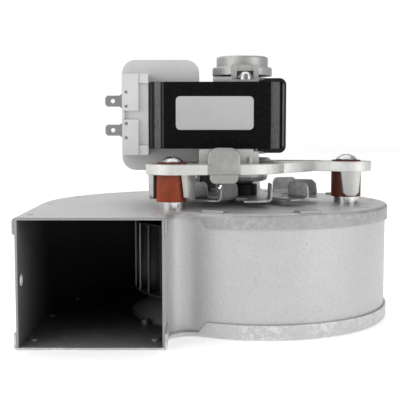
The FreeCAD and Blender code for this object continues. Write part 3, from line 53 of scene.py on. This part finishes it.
SHAFT = (0, 0, 0)                                       # the shaft's axis stands on the origin
FLAT = (1, 1, 0)                                        # as a stretch: distances ignore the height
STEEL_SHEET_PITCH = 0.0005                              # one lamination
WIRE_PITCH = 0.0004                                     # one layer of the winding

SILVER = (0.585, 0.577, 0.581)                          # the housing's coat


def grey(level):
    return (level, level, level)


def shade(color, factor):
    return [min(1, c * factor) for c in color]


# ---------------------------------------------------------------------------------------------------------
# Materials: the tools
# ---------------------------------------------------------------------------------------------------------
class Paint:
    """A material under construction: a Principled shader and short ways to add nodes to it."""

    def __init__(self, name, color, rough, metallic=0.0, **sockets):
        self.material = bpy.data.materials.new(name)
        self.material.use_nodes = True
        self.tree = self.material.node_tree
        self.shader = self.tree.nodes["Principled BSDF"]
        self.color = (*color, 1.0)
        self.shader.inputs["Base Color"].default_value = self.color
        self.shader.inputs["Roughness"].default_value = rough
        self.shader.inputs["Metallic"].default_value = metallic
        for socket, amount in sockets.items():
            self.shader.inputs[socket.replace("_", " ")].default_value = amount
        self.place = self.add("ShaderNodeTexCoord").outputs["Object"]

    def add(self, kind, **values):
        """Add a node. A value goes to the input of that name, or else to the node's own setting."""
        node = self.tree.nodes.new(kind)
        for key, amount in values.items():
            if key in node.inputs:
                node.inputs[key].default_value = amount
            else:
                setattr(node, key, amount)
        return node

    def link(self, output, node, socket):
        self.tree.links.new(output, node.inputs[socket])

    def feed(self, node, *terms):
        """Fill a node's first inputs, each with another node's output or with a constant."""
        for socket, term in enumerate(terms):
            if hasattr(term, "links"):
                self.link(term, node, socket)
            else:
                node.inputs[socket].default_value = term
        return node

    def math(self, operation, first, second=0.0):
        return self.feed(self.add("ShaderNodeMath", operation=operation), first, second).outputs[0]

    def vector(self, operation, first, second):
        """A vector operation. Its result is a node, because some give a vector and some a number."""
        return self.feed(self.add("ShaderNodeVectorMath", operation=operation), first, second)

    def ramp(self, value, low, high, start=0.0, end=1.0):
        """Stretch a value's range low..high to start..end, and clamp it there."""
        return self.feed(self.add("ShaderNodeMapRange"), value, low, high, start, end).outputs[0]

    def band(self, value, low, high, soft):
        """1 between two levels and 0 beyond them."""
        return self.math("MULTIPLY", self.ramp(value, low - soft, low + soft),
                         self.ramp(value, high + soft, high - soft))

    def axis(self, name):
        return self.feed(self.add("ShaderNodeSeparateXYZ"), self.place).outputs[name]

    def normal(self):
        return self.add("ShaderNodeNewGeometry").outputs["Normal"]

    def scaled(self, stretch):
        mapping = self.add("ShaderNodeMapping", Scale=stretch)
        self.link(self.place, mapping, "Vector")
        return mapping.outputs[0]

    def gap(self, centre, stretch=(1, 1, 1)):
        """The distance from a point, or from an upright line when stretch is FLAT."""
        return self.vector("DISTANCE", self.scaled(stretch), centre).outputs["Value"]

    def facing(self, centre):
        """1 on faces that look towards a point, and 0 on faces that look away from it."""
        outward = self.vector("SUBTRACT", self.place, centre).outputs["Vector"]
        turned = self.vector("DOT_PRODUCT", outward, self.normal()).outputs["Value"]
        return self.ramp(turned, 0.001, -0.001)

    def noise(self, size, detail, rough, stretch=(1, 1, 1)):
        """Noise whose blobs are about `size` metres across."""
        node = self.add("ShaderNodeTexNoise", Scale=1 / size, Detail=detail, Roughness=rough)
        self.link(self.scaled(stretch), node, "Vector")
        return node.outputs["Fac"]

    def spots(self, apart, radius):
        """Scattered small marks: 1 in a mark, 0 elsewhere."""
        node = self.add("ShaderNodeTexVoronoi", Scale=1 / apart)
        self.link(self.place, node, "Vector")
        return self.ramp(node.outputs["Distance"], radius / apart, 0.6 * radius / apart)

    def tint(self, factor, color):
        """Mix another colour over the base where factor is high."""
        node = self.add("ShaderNodeMix", data_type="RGBA")
        self.link(factor, node, 0)
        source = self.shader.inputs["Base Color"]
        if source.is_linked:
            self.link(source.links[0].from_socket, node, 6)
        else:
            node.inputs[6].default_value = self.color
        node.inputs[7].default_value = (*color, 1.0)
        self.tree.links.new(node.outputs[2], source)

    def roughen(self, noise, low, high):
        """Vary the roughness with a noise, most of which lies between 0.3 and 0.7."""
        self.link(self.ramp(noise, 0.3, 0.7, low, high), self.shader, "Roughness")

    def bump(self, value, depth, strength):
        """Add relief of `depth` metres."""
        node = self.add("ShaderNodeBump", Strength=strength, Distance=depth)
        self.link(value, node, "Height")
        source = self.shader.inputs["Normal"]
        if source.is_linked:
            self.link(source.links[0].from_socket, node, "Normal")
        self.tree.links.new(node.outputs[0], source)

    def paint_edge_highlight(self, radius, color, amount):
        """Paint a highlight in another colour over the sharp edges, and return the normals that round
        them.
        """
        bevel = self.add("ShaderNodeBevel", samples=4, Radius=radius).outputs[0]
        same = self.vector("DOT_PRODUCT", bevel, self.normal()).outputs["Value"]
        # painted highlight: a lighter colour where the bevel bends the normal
        lightened = self.ramp(same, 0.97, 0.75, 0, amount)
        patchy = self.ramp(self.noise(0.002, 3.0, 0.6), 0.35, 0.6, 0.45, 1)
        self.tint(self.math("MULTIPLY", lightened, patchy), color)
        return bevel

    def soften_and_highlight_edges(self, radius, color, amount):
        """Round the sharp edges to the eye, and paint a highlight on them in another colour. Goes before
        any bump.
        """
        self.link(self.paint_edge_highlight(radius, color, amount), self.shader, "Normal")

    def paint_hollow_shade(self, distance, color, open_from, amount, where=1.0):
        """Painted shade: darken corners and hollows that see little of the room within `distance`."""
        sight = self.add("ShaderNodeAmbientOcclusion", samples=6, Distance=distance)
        hollow = self.ramp(sight.outputs["AO"], open_from, 0.05, 0, amount)
        self.tint(self.math("MULTIPLY", hollow, where), color)


def dress(paint, *names):
    for name in names:
        slots = nodes[name].data.materials
        slots.clear()
        slots.append(paint.material)


# ---------------------------------------------------------------------------------------------------------
# Materials: the kinds
# ---------------------------------------------------------------------------------------------------------
def sheet_metal(name, color, rough, metallic, speck=0.00035, edge=0.0003):
    """Matt coated sheet: a fine speckle, soft clouds, rare dark marks, and a painted highlight on its
    edges.
    """
    paint = Paint(name, color, rough, metallic)
    paint.soften_and_highlight_edges(edge, shade(color, 1.5), 0.7)
    fine = paint.noise(speck, 2.0, 0.7)
    coarse = paint.noise(speck * 4, 3.0, 0.6)
    clouds = paint.noise(0.02, 4.0, 0.6)
    marks = paint.math("MULTIPLY", paint.spots(0.009, 0.0005), 0.5)
    paint.tint(paint.ramp(fine, 0.5, 0.68), shade(color, 0.64))
    paint.tint(paint.ramp(coarse, 0.52, 0.72, 0, 0.5), shade(color, 0.84))
    paint.tint(paint.ramp(clouds, 0.5, 0.8, 0, 0.45), shade(color, 1.15))
    paint.tint(marks, shade(color, 0.45))
    paint.roughen(clouds, rough - 0.05, rough + 0.07)
    paint.bump(fine, 0.00002, 0.4)
    return paint


def crimp_rims(paint, color):
    """Scuff and slightly pucker the plates' folded rims, up to the inlet cone. The upper rim is painted
    darker, as painted shade under its bend, and the lower rim's scuffs are painted brighter, as painted
    light.
    """
    lower = (-SHEET, RIM_DEPTH - 0.0001)
    upper = (HOUSING_TOP - RIM_DEPTH + 0.0001, HOUSING_TOP - 0.0003)
    outside = paint.ramp(paint.gap(SHAFT, FLAT), INLET_RADIUS + 0.0015, INLET_RADIUS + 0.0025)
    blotch = paint.noise(0.003, 5.0, 0.75, (1, 1, 1.3))
    scratch = paint.ramp(paint.noise(0.0006, 3.0, 0.7, (1, 1, 0.25)), 0.52, 0.7, 0, 0.6)
    ripple = paint.noise(0.0022, 2.0, 0.5, (1, 1, 0.35))
    patches = paint.ramp(paint.noise(0.03, 1.0, 0.5), 0.42, 0.58, 0.15, 1)
    # painted shade and light: the upper rim gets darker levels than the lower one, in its body and in its
    # scuffs
    for (low, high), base, light, amount in ((lower, 0.95, 1.4, 0.8), (upper, 0.54, 0.9, 0.6)):
        rim = paint.math("MULTIPLY", outside, paint.band(paint.axis("Z"), low, high, 0.0003))
        scuff = paint.math("MULTIPLY", rim, patches)
        bright = paint.ramp(blotch, 0.42, 0.6, 0, amount)
        paint.tint(paint.math("MULTIPLY", rim, 0.8), shade(color, base))
        paint.tint(paint.math("MULTIPLY", scuff, bright), shade(color, light))
        paint.tint(paint.math("MULTIPLY", scuff, scratch), shade(color, 0.6))
        paint.bump(paint.math("MULTIPLY", scuff, ripple), 0.0005, 0.7)


def inside_housing(paint, plate):
    """1 on the faces inside the duct and the drum, and 0 outside. The inlet cone of a plate gets half.

    In front of the shaft, the duct's faces are told by their place. Behind it, where the scroll bends
    round and its outside comes into the same band, only the faces that look inwards count.
    """
    front = paint.ramp(paint.axis("Y"), -0.001, -0.002)
    facing_in = paint.facing((*DRUM_CENTRE, HOUSING_TOP / 2))
    duct = paint.math("MULTIPLY", paint.band(paint.axis("X"), DUCT_LEFT, DUCT_RIGHT, 0.0002),
                      paint.math("MAXIMUM", front, facing_in))
    drum = paint.ramp(paint.gap((*DRUM_CENTRE, 0), FLAT), DRUM_RADIUS + 0.0001, DRUM_RADIUS - 0.0001)
    between_plates = paint.band(paint.axis("Z"), SHEET - 0.0001, HOUSING_TOP - 0.0003, 0.0001)
    inside = paint.math("MULTIPLY", paint.math("MAXIMUM", duct, drum), between_plates)
    if plate:
        cone = paint.ramp(paint.gap((0, 0, INLET_TOP)),
                          INLET_RADIUS - 0.001, INLET_RADIUS + 0.0025, 0.5, 1)
        inside = paint.math("MULTIPLY", inside, cone)
    return inside


def housing_metal(name, color, plate):
    """The housing's sheet, painted dark inside as painted shade, with painted glints over it: a plate with
    crimped rims, or the wall with its folded tabs.
    """
    paint = sheet_metal(name, color, rough=0.42, metallic=0.5)
    mouth_edge = paint.ramp(paint.axis("Y"), MOUTH + 0.0008, MOUTH + 0.0002, 0, 0.8)
    paint.tint(mouth_edge, shade(color, 0.5))
    if plate:
        crimp_rims(paint, color)
    else:
        tabs = paint.ramp(paint.axis("Z"), HOUSING_TOP - 0.0008, HOUSING_TOP - 0.0005, 0, 0.8)
        paint.tint(tabs, shade(color, 0.55))
    inside = inside_housing(paint, plate)
    sparkle = paint.ramp(paint.noise(0.0006, 1.0, 0.5), 0.66, 0.74, 0, 0.5)
    # painted shade inside the housing, then painted glints over it
    paint.paint_hollow_shade(0.09, grey(0.004), 0.7, 0.99, inside)
    paint.tint(paint.math("MULTIPLY", inside, sparkle), grey(0.35))
    return paint


def turned_metal(name, color, rough):
    """Bright plated or ground metal with a faint grain and dull patches, a painted highlight on its edges
    and painted shade in its hollows.
    """
    paint = Paint(name, color, rough, metallic=1.0)
    paint.soften_and_highlight_edges(0.0002, shade(color, 1.2), 0.5)
    grain = paint.noise(0.0006, 3.0, 0.6)
    patches = paint.noise(0.003, 4.0, 0.6)
    paint.tint(paint.ramp(grain, 0.5, 0.8, 0, 0.6), shade(color, 0.78))
    paint.tint(paint.ramp(patches, 0.55, 0.7, 0, 0.35), shade(color, 0.6))
    paint.roughen(grain, rough * 0.8, rough * 1.4)
    paint.bump(grain, 0.000008, 0.3)
    paint.paint_hollow_shade(0.002, shade(color, 0.25), 0.5, 0.6)
    return paint


def mark_bracket(paint, color, grain):
    """The bracket's plate rim, painted brighter as a painted highlight, and its front lug: painted darker
    as painted shade, sandier, with a parting line.
    """
    height = paint.axis("Z")
    seam = BRACKET_BOTTOM + 0.0001
    lit_plate_edge = paint.band(height, BRACKET_BOTTOM - 0.0004, BRACKET_TOP, 0.0001)
    lug = paint.math("MULTIPLY",
                     paint.band(paint.axis("X"), LUG_MIDDLE - LUG_HALF, LUG_MIDDLE + LUG_HALF, 0.0001),
                     paint.ramp(paint.axis("Y"), LUG_BACK, LUG_BACK - 0.0005))
    sand = paint.ramp(grain, 0.42, 0.3, 0, 0.7)
    line = paint.band(height, seam - 0.0002, seam + 0.0002, 0.0001)
    # painted highlight on the plate's rim, then painted shade on the lug
    paint.tint(lit_plate_edge, shade(color, 1.3))
    paint.tint(lug, shade(color, 0.66))
    paint.tint(paint.math("MULTIPLY", lug, sand), shade(color, 0.95))
    paint.tint(paint.math("MULTIPLY", lug, line), shade(color, 0.4))


def cast_metal(name, color, rough, bracket=False):
    """Die-cast skin: sandy grain with shallow flow clouds, a painted highlight on its edges and painted
    shade in its hollows.
    """
    paint = Paint(name, color, rough, metallic=0.85)
    paint.soften_and_highlight_edges(0.0005, shade(color, 1.4), 0.6)
    grain = paint.noise(0.0005, 4.0, 0.7)
    clouds = paint.noise(0.008, 3.0, 0.6)
    pits = paint.math("MULTIPLY", paint.spots(0.005, 0.0004), 0.6)
    if bracket:
        mark_bracket(paint, color, grain)
    paint.tint(paint.ramp(grain, 0.5, 0.75), shade(color, 0.68))
    paint.tint(paint.ramp(clouds, 0.5, 0.8, 0, 0.5), shade(color, 1.25))
    paint.tint(pits, shade(color, 0.35))
    paint.roughen(clouds, rough - 0.06, rough + 0.1)
    paint.bump(grain, 0.00007, 0.6)
    paint.paint_hollow_shade(0.006, shade(color, 0.25), 0.5, 0.6)
    return paint


def moulded(name, color, rough, edge=0.0004, light=1.15, shine=0.5):
    """Moulded plastic or rubber: nearly even, with a faint orange-peel relief, a painted highlight on its
    edges and painted shade in its corners.
    """
    paint = Paint(name, color, rough, Specular_IOR_Level=shine)
    paint.soften_and_highlight_edges(edge, shade(color, light), 0.5)
    grain = paint.noise(0.0008, 2.0, 0.5)
    clouds = paint.noise(0.012, 4.0, 0.6)
    paint.tint(paint.ramp(clouds, 0.45, 0.75, 0, 0.6), shade(color, 0.86))
    paint.tint(paint.ramp(grain, 0.55, 0.8, 0, 0.35), shade(color, light))
    paint.roughen(grain, rough - 0.05, rough + 0.08)
    paint.bump(grain, 0.00002, 0.35)
    paint.paint_hollow_shade(0.004, shade(color, 0.5), 0.5, 0.5)
    return paint


def level_lines(paint, pitch):
    """A wave that rises and falls once in each layer of a stack or winding."""
    return paint.math("SINE", paint.math("MULTIPLY", paint.axis("Z"), 2 * math.pi / pitch))


def laminated(name, color, rough, strips=()):
    """A stack of thin sheets: fine level lines round its sides, and bare upright strips on its front."""
    paint = moulded(name, color, rough, light=2.0, shine=0.25)
    lines = level_lines(paint, STEEL_SHEET_PITCH)
    front = paint.ramp(paint.axis("Y"), stack_low.y + 0.0005, stack_low.y + 0.0002)
    grain = paint.ramp(paint.noise(0.0007, 3.0, 0.7, (1, 1, 0.3)), 0.5, 0.7, 0, 0.6)
    paint.tint(paint.ramp(lines, 0.5, 1.0, 0, 0.4), shade(color, 1.8))
    for left, right, level in strips:
        strip = paint.band(paint.axis("X"), left, right, 0.0001)
        paint.tint(paint.math("MULTIPLY", front, strip), (level, level * 1.03, level * 1.05))
    paint.tint(paint.math("MULTIPLY", front, grain), shade(color, 0.6))
    paint.bump(lines, 0.00003, 0.5)
    return paint


def wound(name, color, rough):
    """Enamelled wire, layer on layer, as fine level lines."""
    paint = turned_metal(name, color, rough)
    lines = level_lines(paint, WIRE_PITCH)
    paint.tint(paint.ramp(lines, -0.4, -1.0, 0, 0.6), shade(color, 0.35))
    paint.bump(lines, 0.00008, 0.7)
    return paint


# ---------------------------------------------------------------------------------------------------------
# Materials: the pieces
# ---------------------------------------------------------------------------------------------------------
def dress_housing():
    dress(housing_metal("housing_plate", SILVER, True), "housing_top_plate", "housing_bottom_plate")
    dress(housing_metal("housing_wall", SILVER, False), "scroll_wall")


def dress_wheel():
    """The wheel has painted shade between its blades, and less of it inside its eye, which shows through
    the inlet; its edges keep a painted highlight.
    """
    paint = sheet_metal("wheel_sheet", grey(0.3), rough=0.42, metallic=0.85, edge=0.0002)
    blades = paint.ramp(paint.gap(SHAFT, FLAT), WHEEL_RADIUS - 0.009, WHEEL_RADIUS - 0.003, 0.45, 1)
    paint.paint_hollow_shade(0.04, grey(0.003), 0.85, 0.99, blades)
    # painted highlight: the sheet's own grey goes back over the painted shade on the edges
    paint.paint_edge_highlight(0.0003, grey(0.3), 0.8)
    dress(paint, "wheel_back_plate", "wheel_front_ring", "wheel_blades")
    dress(turned_metal("zinc_steel", (0.62, 0.63, 0.64), 0.3), "clinch_nuts", "wheel_hub", "wheel_rivets",
          "rotor_spacers")
    dress(turned_metal("dark_steel", grey(0.1), 0.4), "hub_set_screw")


def dress_legs():
    """Each bush has its own colour; the back bush's dark grey stands in for shade. Painted shade also
    darkens the back leg's sleeve and the top of the front bush, under the bracket.
    """
    sleeve = turned_metal("sleeve_steel", (0.68, 0.675, 0.66), 0.16)
    # painted shade on the back leg's sleeve
    sleeve.tint(sleeve.ramp(sleeve.axis("Y"), BACK_LEG - 0.01, BACK_LEG), (0.16, 0.155, 0.15))
    dress(sleeve, "bush_sleeves")
    dress(turned_metal("plated_steel", grey(0.5), 0.16), "leg_screws", "through_bolts")
    front = moulded("orange_rubber", (0.32, 0.045, 0.008), 0.42, edge=0.0008, shine=0.35)
    stain = front.ramp(front.noise(0.006, 3.0, 0.6), 0.5, 0.7, 0, 0.7)
    # painted shade at the top of the front bush, under the bracket
    top = front.ramp(front.axis("Z"), BRACKET_BOTTOM - 0.004, BRACKET_BOTTOM, 0, 0.55)
    front.tint(stain, (0.16, 0.03, 0.012))
    front.tint(top, (0.12, 0.035, 0.02))
    dress(front, "bush_front_left")
    dress(moulded("dark_rubber", (0.11, 0.02, 0.008), 0.45, edge=0.0008, shine=0.35), "bush_right")
    # painted shade: the back bush is dark grey to stand for the shade at the back leg
    dress(moulded("grey_rubber_painted_shade", (0.06, 0.055, 0.052), 0.5, edge=0.0008), "bush_back")


def dress_bearings():
    dress(turned_metal("bearing_steel", (0.70, 0.70, 0.72), 0.2), "lower_bearing_outer_ring",
          "lower_bearing_inner_ring", "upper_bearing_outer_ring", "upper_bearing_inner_ring",
          "lower_bearing_cage", "upper_bearing_cage", "shaft")
    dress(turned_metal("bearing_balls", (0.85, 0.85, 0.86), 0.08),
          "lower_bearing_balls", "upper_bearing_balls")


def dress_castings():
    dress(cast_metal("cast_aluminium", (0.58, 0.58, 0.565), 0.42, bracket=True), "motor_bracket")
    dress(cast_metal("cast_cap", (0.50, 0.50, 0.49), 0.45), "upper_bearing_bracket")
    dress(cast_metal("rotor_aluminium", grey(0.42), 0.4), "rotor_end_rings")


def bare_strips():
    """The steel that shows beside the front cover: left edge, right edge and grey level of each strip."""
    by_left_end = ((-0.0002, 0.001, 0.045), (0.0025, 0.0053, 0.13), (0.006, 0.0068, 0.07))
    by_cover = ((-0.0001, 0.0003, 0.16), (0.0003, 0.0043, 0.1))
    return [(side + start, side + end, level)
            for side, group in ((stack_low.x, by_left_end), (COVER_RIGHT, by_cover))
            for start, end, level in group]


def dress_stack():
    dress(laminated("stack_black", (0.022, 0.022, 0.023), 0.36, bare_strips()),
          "stator_stack", "coil_core")
    dress(laminated("rotor_iron", grey(0.16), 0.4), "rotor_core")
    clip = moulded("clip_black", (0.006, 0.0065, 0.007), 0.35, light=2.0, shine=0.25)
    lightened = clip.math("MULTIPLY",
                     clip.band(clip.axis("X"), stack_high.x - 0.0002, stack_high.x + 0.001, 0.0002),
                     clip.band(clip.axis("Z"), stack_low.z + 0.0009, stack_high.z - 0.0009, 0.0004))
    clip.tint(lightened, (0.11, 0.112, 0.115))
    dress(clip, "stack_end_clip")
    cover = moulded("cover_black", (0.0035, 0.0036, 0.0038), 0.42, light=2.5, shine=0.06)
    cover.tint(cover.ramp(cover.noise(0.0006, 2.0, 0.7), 0.5, 0.7), grey(0.014))
    dress(cover, "front_cover")
    dress(moulded("label_grey", grey(0.5), 0.35, edge=0.0002), "label_plate")
    dress(turned_metal("shading_copper", (0.75, 0.35, 0.2), 0.3), "shading_rings")


def dress_coil():
    dress(moulded("white_plastic", (0.66, 0.66, 0.655), 0.42, edge=0.0006, light=1.08),
          "coil_bobbin", "coil_cover", "terminal_block")
    dress(turned_metal("tinned_brass", (0.33, 0.33, 0.325), 0.38),
          "spade_terminal_upper", "spade_terminal_lower")
    dress(wound("winding_copper", (0.62, 0.24, 0.12), 0.35), "coil_winding")


def dress_cooling_fan():
    """Zinc-coated sheet with a coarse spangle, painted shade in its bends and a painted highlight along
    its edges.
    """
    paint = sheet_metal("fan_sheet", grey(0.64), rough=0.36, metallic=0.75, speck=0.0005, edge=0.0004)
    spangle = paint.noise(0.0018, 4.0, 0.7, (1, 1, 0.5))
    paint.tint(paint.ramp(spangle, 0.5, 0.66, 0, 0.6), (0.32, 0.325, 0.33))
    paint.paint_hollow_shade(0.008, grey(0.05), 0.55, 0.8)
    paint.paint_edge_highlight(0.0005, grey(0.85), 0.9)
    dress(paint, "cooling_fan")
    dress(moulded("hub_black", (0.008, 0.0085, 0.009), 0.45, light=2.0, shine=0.2), "cooling_fan_hub")


# ---------------------------------------------------------------------------------------------------------
# Studio
# ---------------------------------------------------------------------------------------------------------
def make_floor():
    """A pale floor, just under the object and clear when seen from below, so that the inlet shows."""
    half = 3.0
    level = -0.0002
    mesh = bpy.data.meshes.new("floor")
    corners = [(-half, -half, level), (half, -half, level), (half, half, level), (-half, half, level)]
    mesh.from_pydata(corners, [], [(0, 1, 2, 3)])
    floor = bpy.data.objects.new("floor", mesh)
    bpy.context.scene.collection.objects.link(floor)
    paint = Paint("floor_white", grey(0.93), 0.8, Emission_Color=(1, 1, 1, 1), Emission_Strength=0.4)
    below = paint.add("ShaderNodeNewGeometry").outputs["Backfacing"]
    clear = paint.add("ShaderNodeBsdfTransparent").outputs[0]
    both = paint.add("ShaderNodeMixShader")
    for socket, output in enumerate((below, paint.shader.outputs[0], clear)):
        paint.link(output, both, socket)
    paint.link(both.outputs[0], paint.tree.nodes["Material Output"], "Surface")
    mesh.materials.append(paint.material)


def make_light(name, place, size, power):
    """A soft rectangular light that looks at the middle of the housing."""
    target = Vector((0, 0, 0.05))
    light = bpy.data.lights.new(name, "AREA")
    light.shape = "RECTANGLE"
    light.size, light.size_y = size
    light.energy = power
    lamp = bpy.data.objects.new(name, light)
    bpy.context.scene.collection.objects.link(lamp)
    lamp.location = place
    lamp.rotation_mode = "QUATERNION"
    lamp.rotation_quaternion = (target - Vector(place)).to_track_quat("-Z", "Y")


def make_camera():
    data = bpy.data.cameras.new("camera")
    data.sensor_width = 36
    data.lens = 76.5
    data.clip_start = 0.01
    data.clip_end = 20
    camera = bpy.data.objects.new("camera", data)
    bpy.context.scene.collection.objects.link(camera)
    camera.location = (-0.020919, -0.426096, 0.0943)
    camera.rotation_euler = (math.radians(84.864), 0, 0)
    bpy.context.scene.camera = camera


def make_world():
    """White seen directly; as a light it is brighter above, behind and to the left of the object."""
    from_side, to_side = -0.6, 0.9
    slopes = (("Y", 0.22, 0.57), ("Z", 0.0, 0.35), ("X", 0.12, -0.34))
    world = bpy.data.worlds.new("studio")
    bpy.context.scene.world = world
    world.use_nodes = True
    tree = world.node_tree
    background = tree.nodes["Background"]
    background.inputs["Color"].default_value = (1, 1, 1, 1)
    place = tree.nodes.new("ShaderNodeTexCoord")
    parts = tree.nodes.new("ShaderNodeSeparateXYZ")
    tree.links.new(place.outputs["Generated"], parts.inputs[0])
    total = None
    for axis, low, high in slopes:
        ramp = tree.nodes.new("ShaderNodeMapRange")
        ramp.interpolation_type = "SMOOTHSTEP"
        for socket, amount in enumerate((from_side, to_side, low, high), 1):
            ramp.inputs[socket].default_value = amount
        tree.links.new(parts.outputs[axis], ramp.inputs["Value"])
        if total:
            added = tree.nodes.new("ShaderNodeMath")
            tree.links.new(total, added.inputs[0])
            tree.links.new(ramp.outputs[0], added.inputs[1])
            total = added.outputs[0]
        else:
            total = ramp.outputs[0]
    rays = tree.nodes.new("ShaderNodeLightPath")
    pick = tree.nodes.new("ShaderNodeMix")
    tree.links.new(rays.outputs["Is Camera Ray"], pick.inputs[0])
    tree.links.new(total, pick.inputs[2])
    pick.inputs[3].default_value = 1.0
    tree.links.new(pick.outputs[0], background.inputs["Strength"])


dress_housing()
dress_wheel()
dress_legs()
dress_bearings()
dress_castings()
dress_stack()
dress_coil()
dress_cooling_fan()
make_floor()
make_camera()
make_light("key_left", (-0.95, -0.72, 0.55), (1.0, 0.9), 4.5)
make_light("key_right", (1.0, -0.72, 0.42), (0.95, 0.8), 4.4)
make_light("top", (0, 0.25, 1.1), (1.1, 0.9), 3.0)
make_world()
bpy.context.scene.view_settings.view_transform = "Standard"
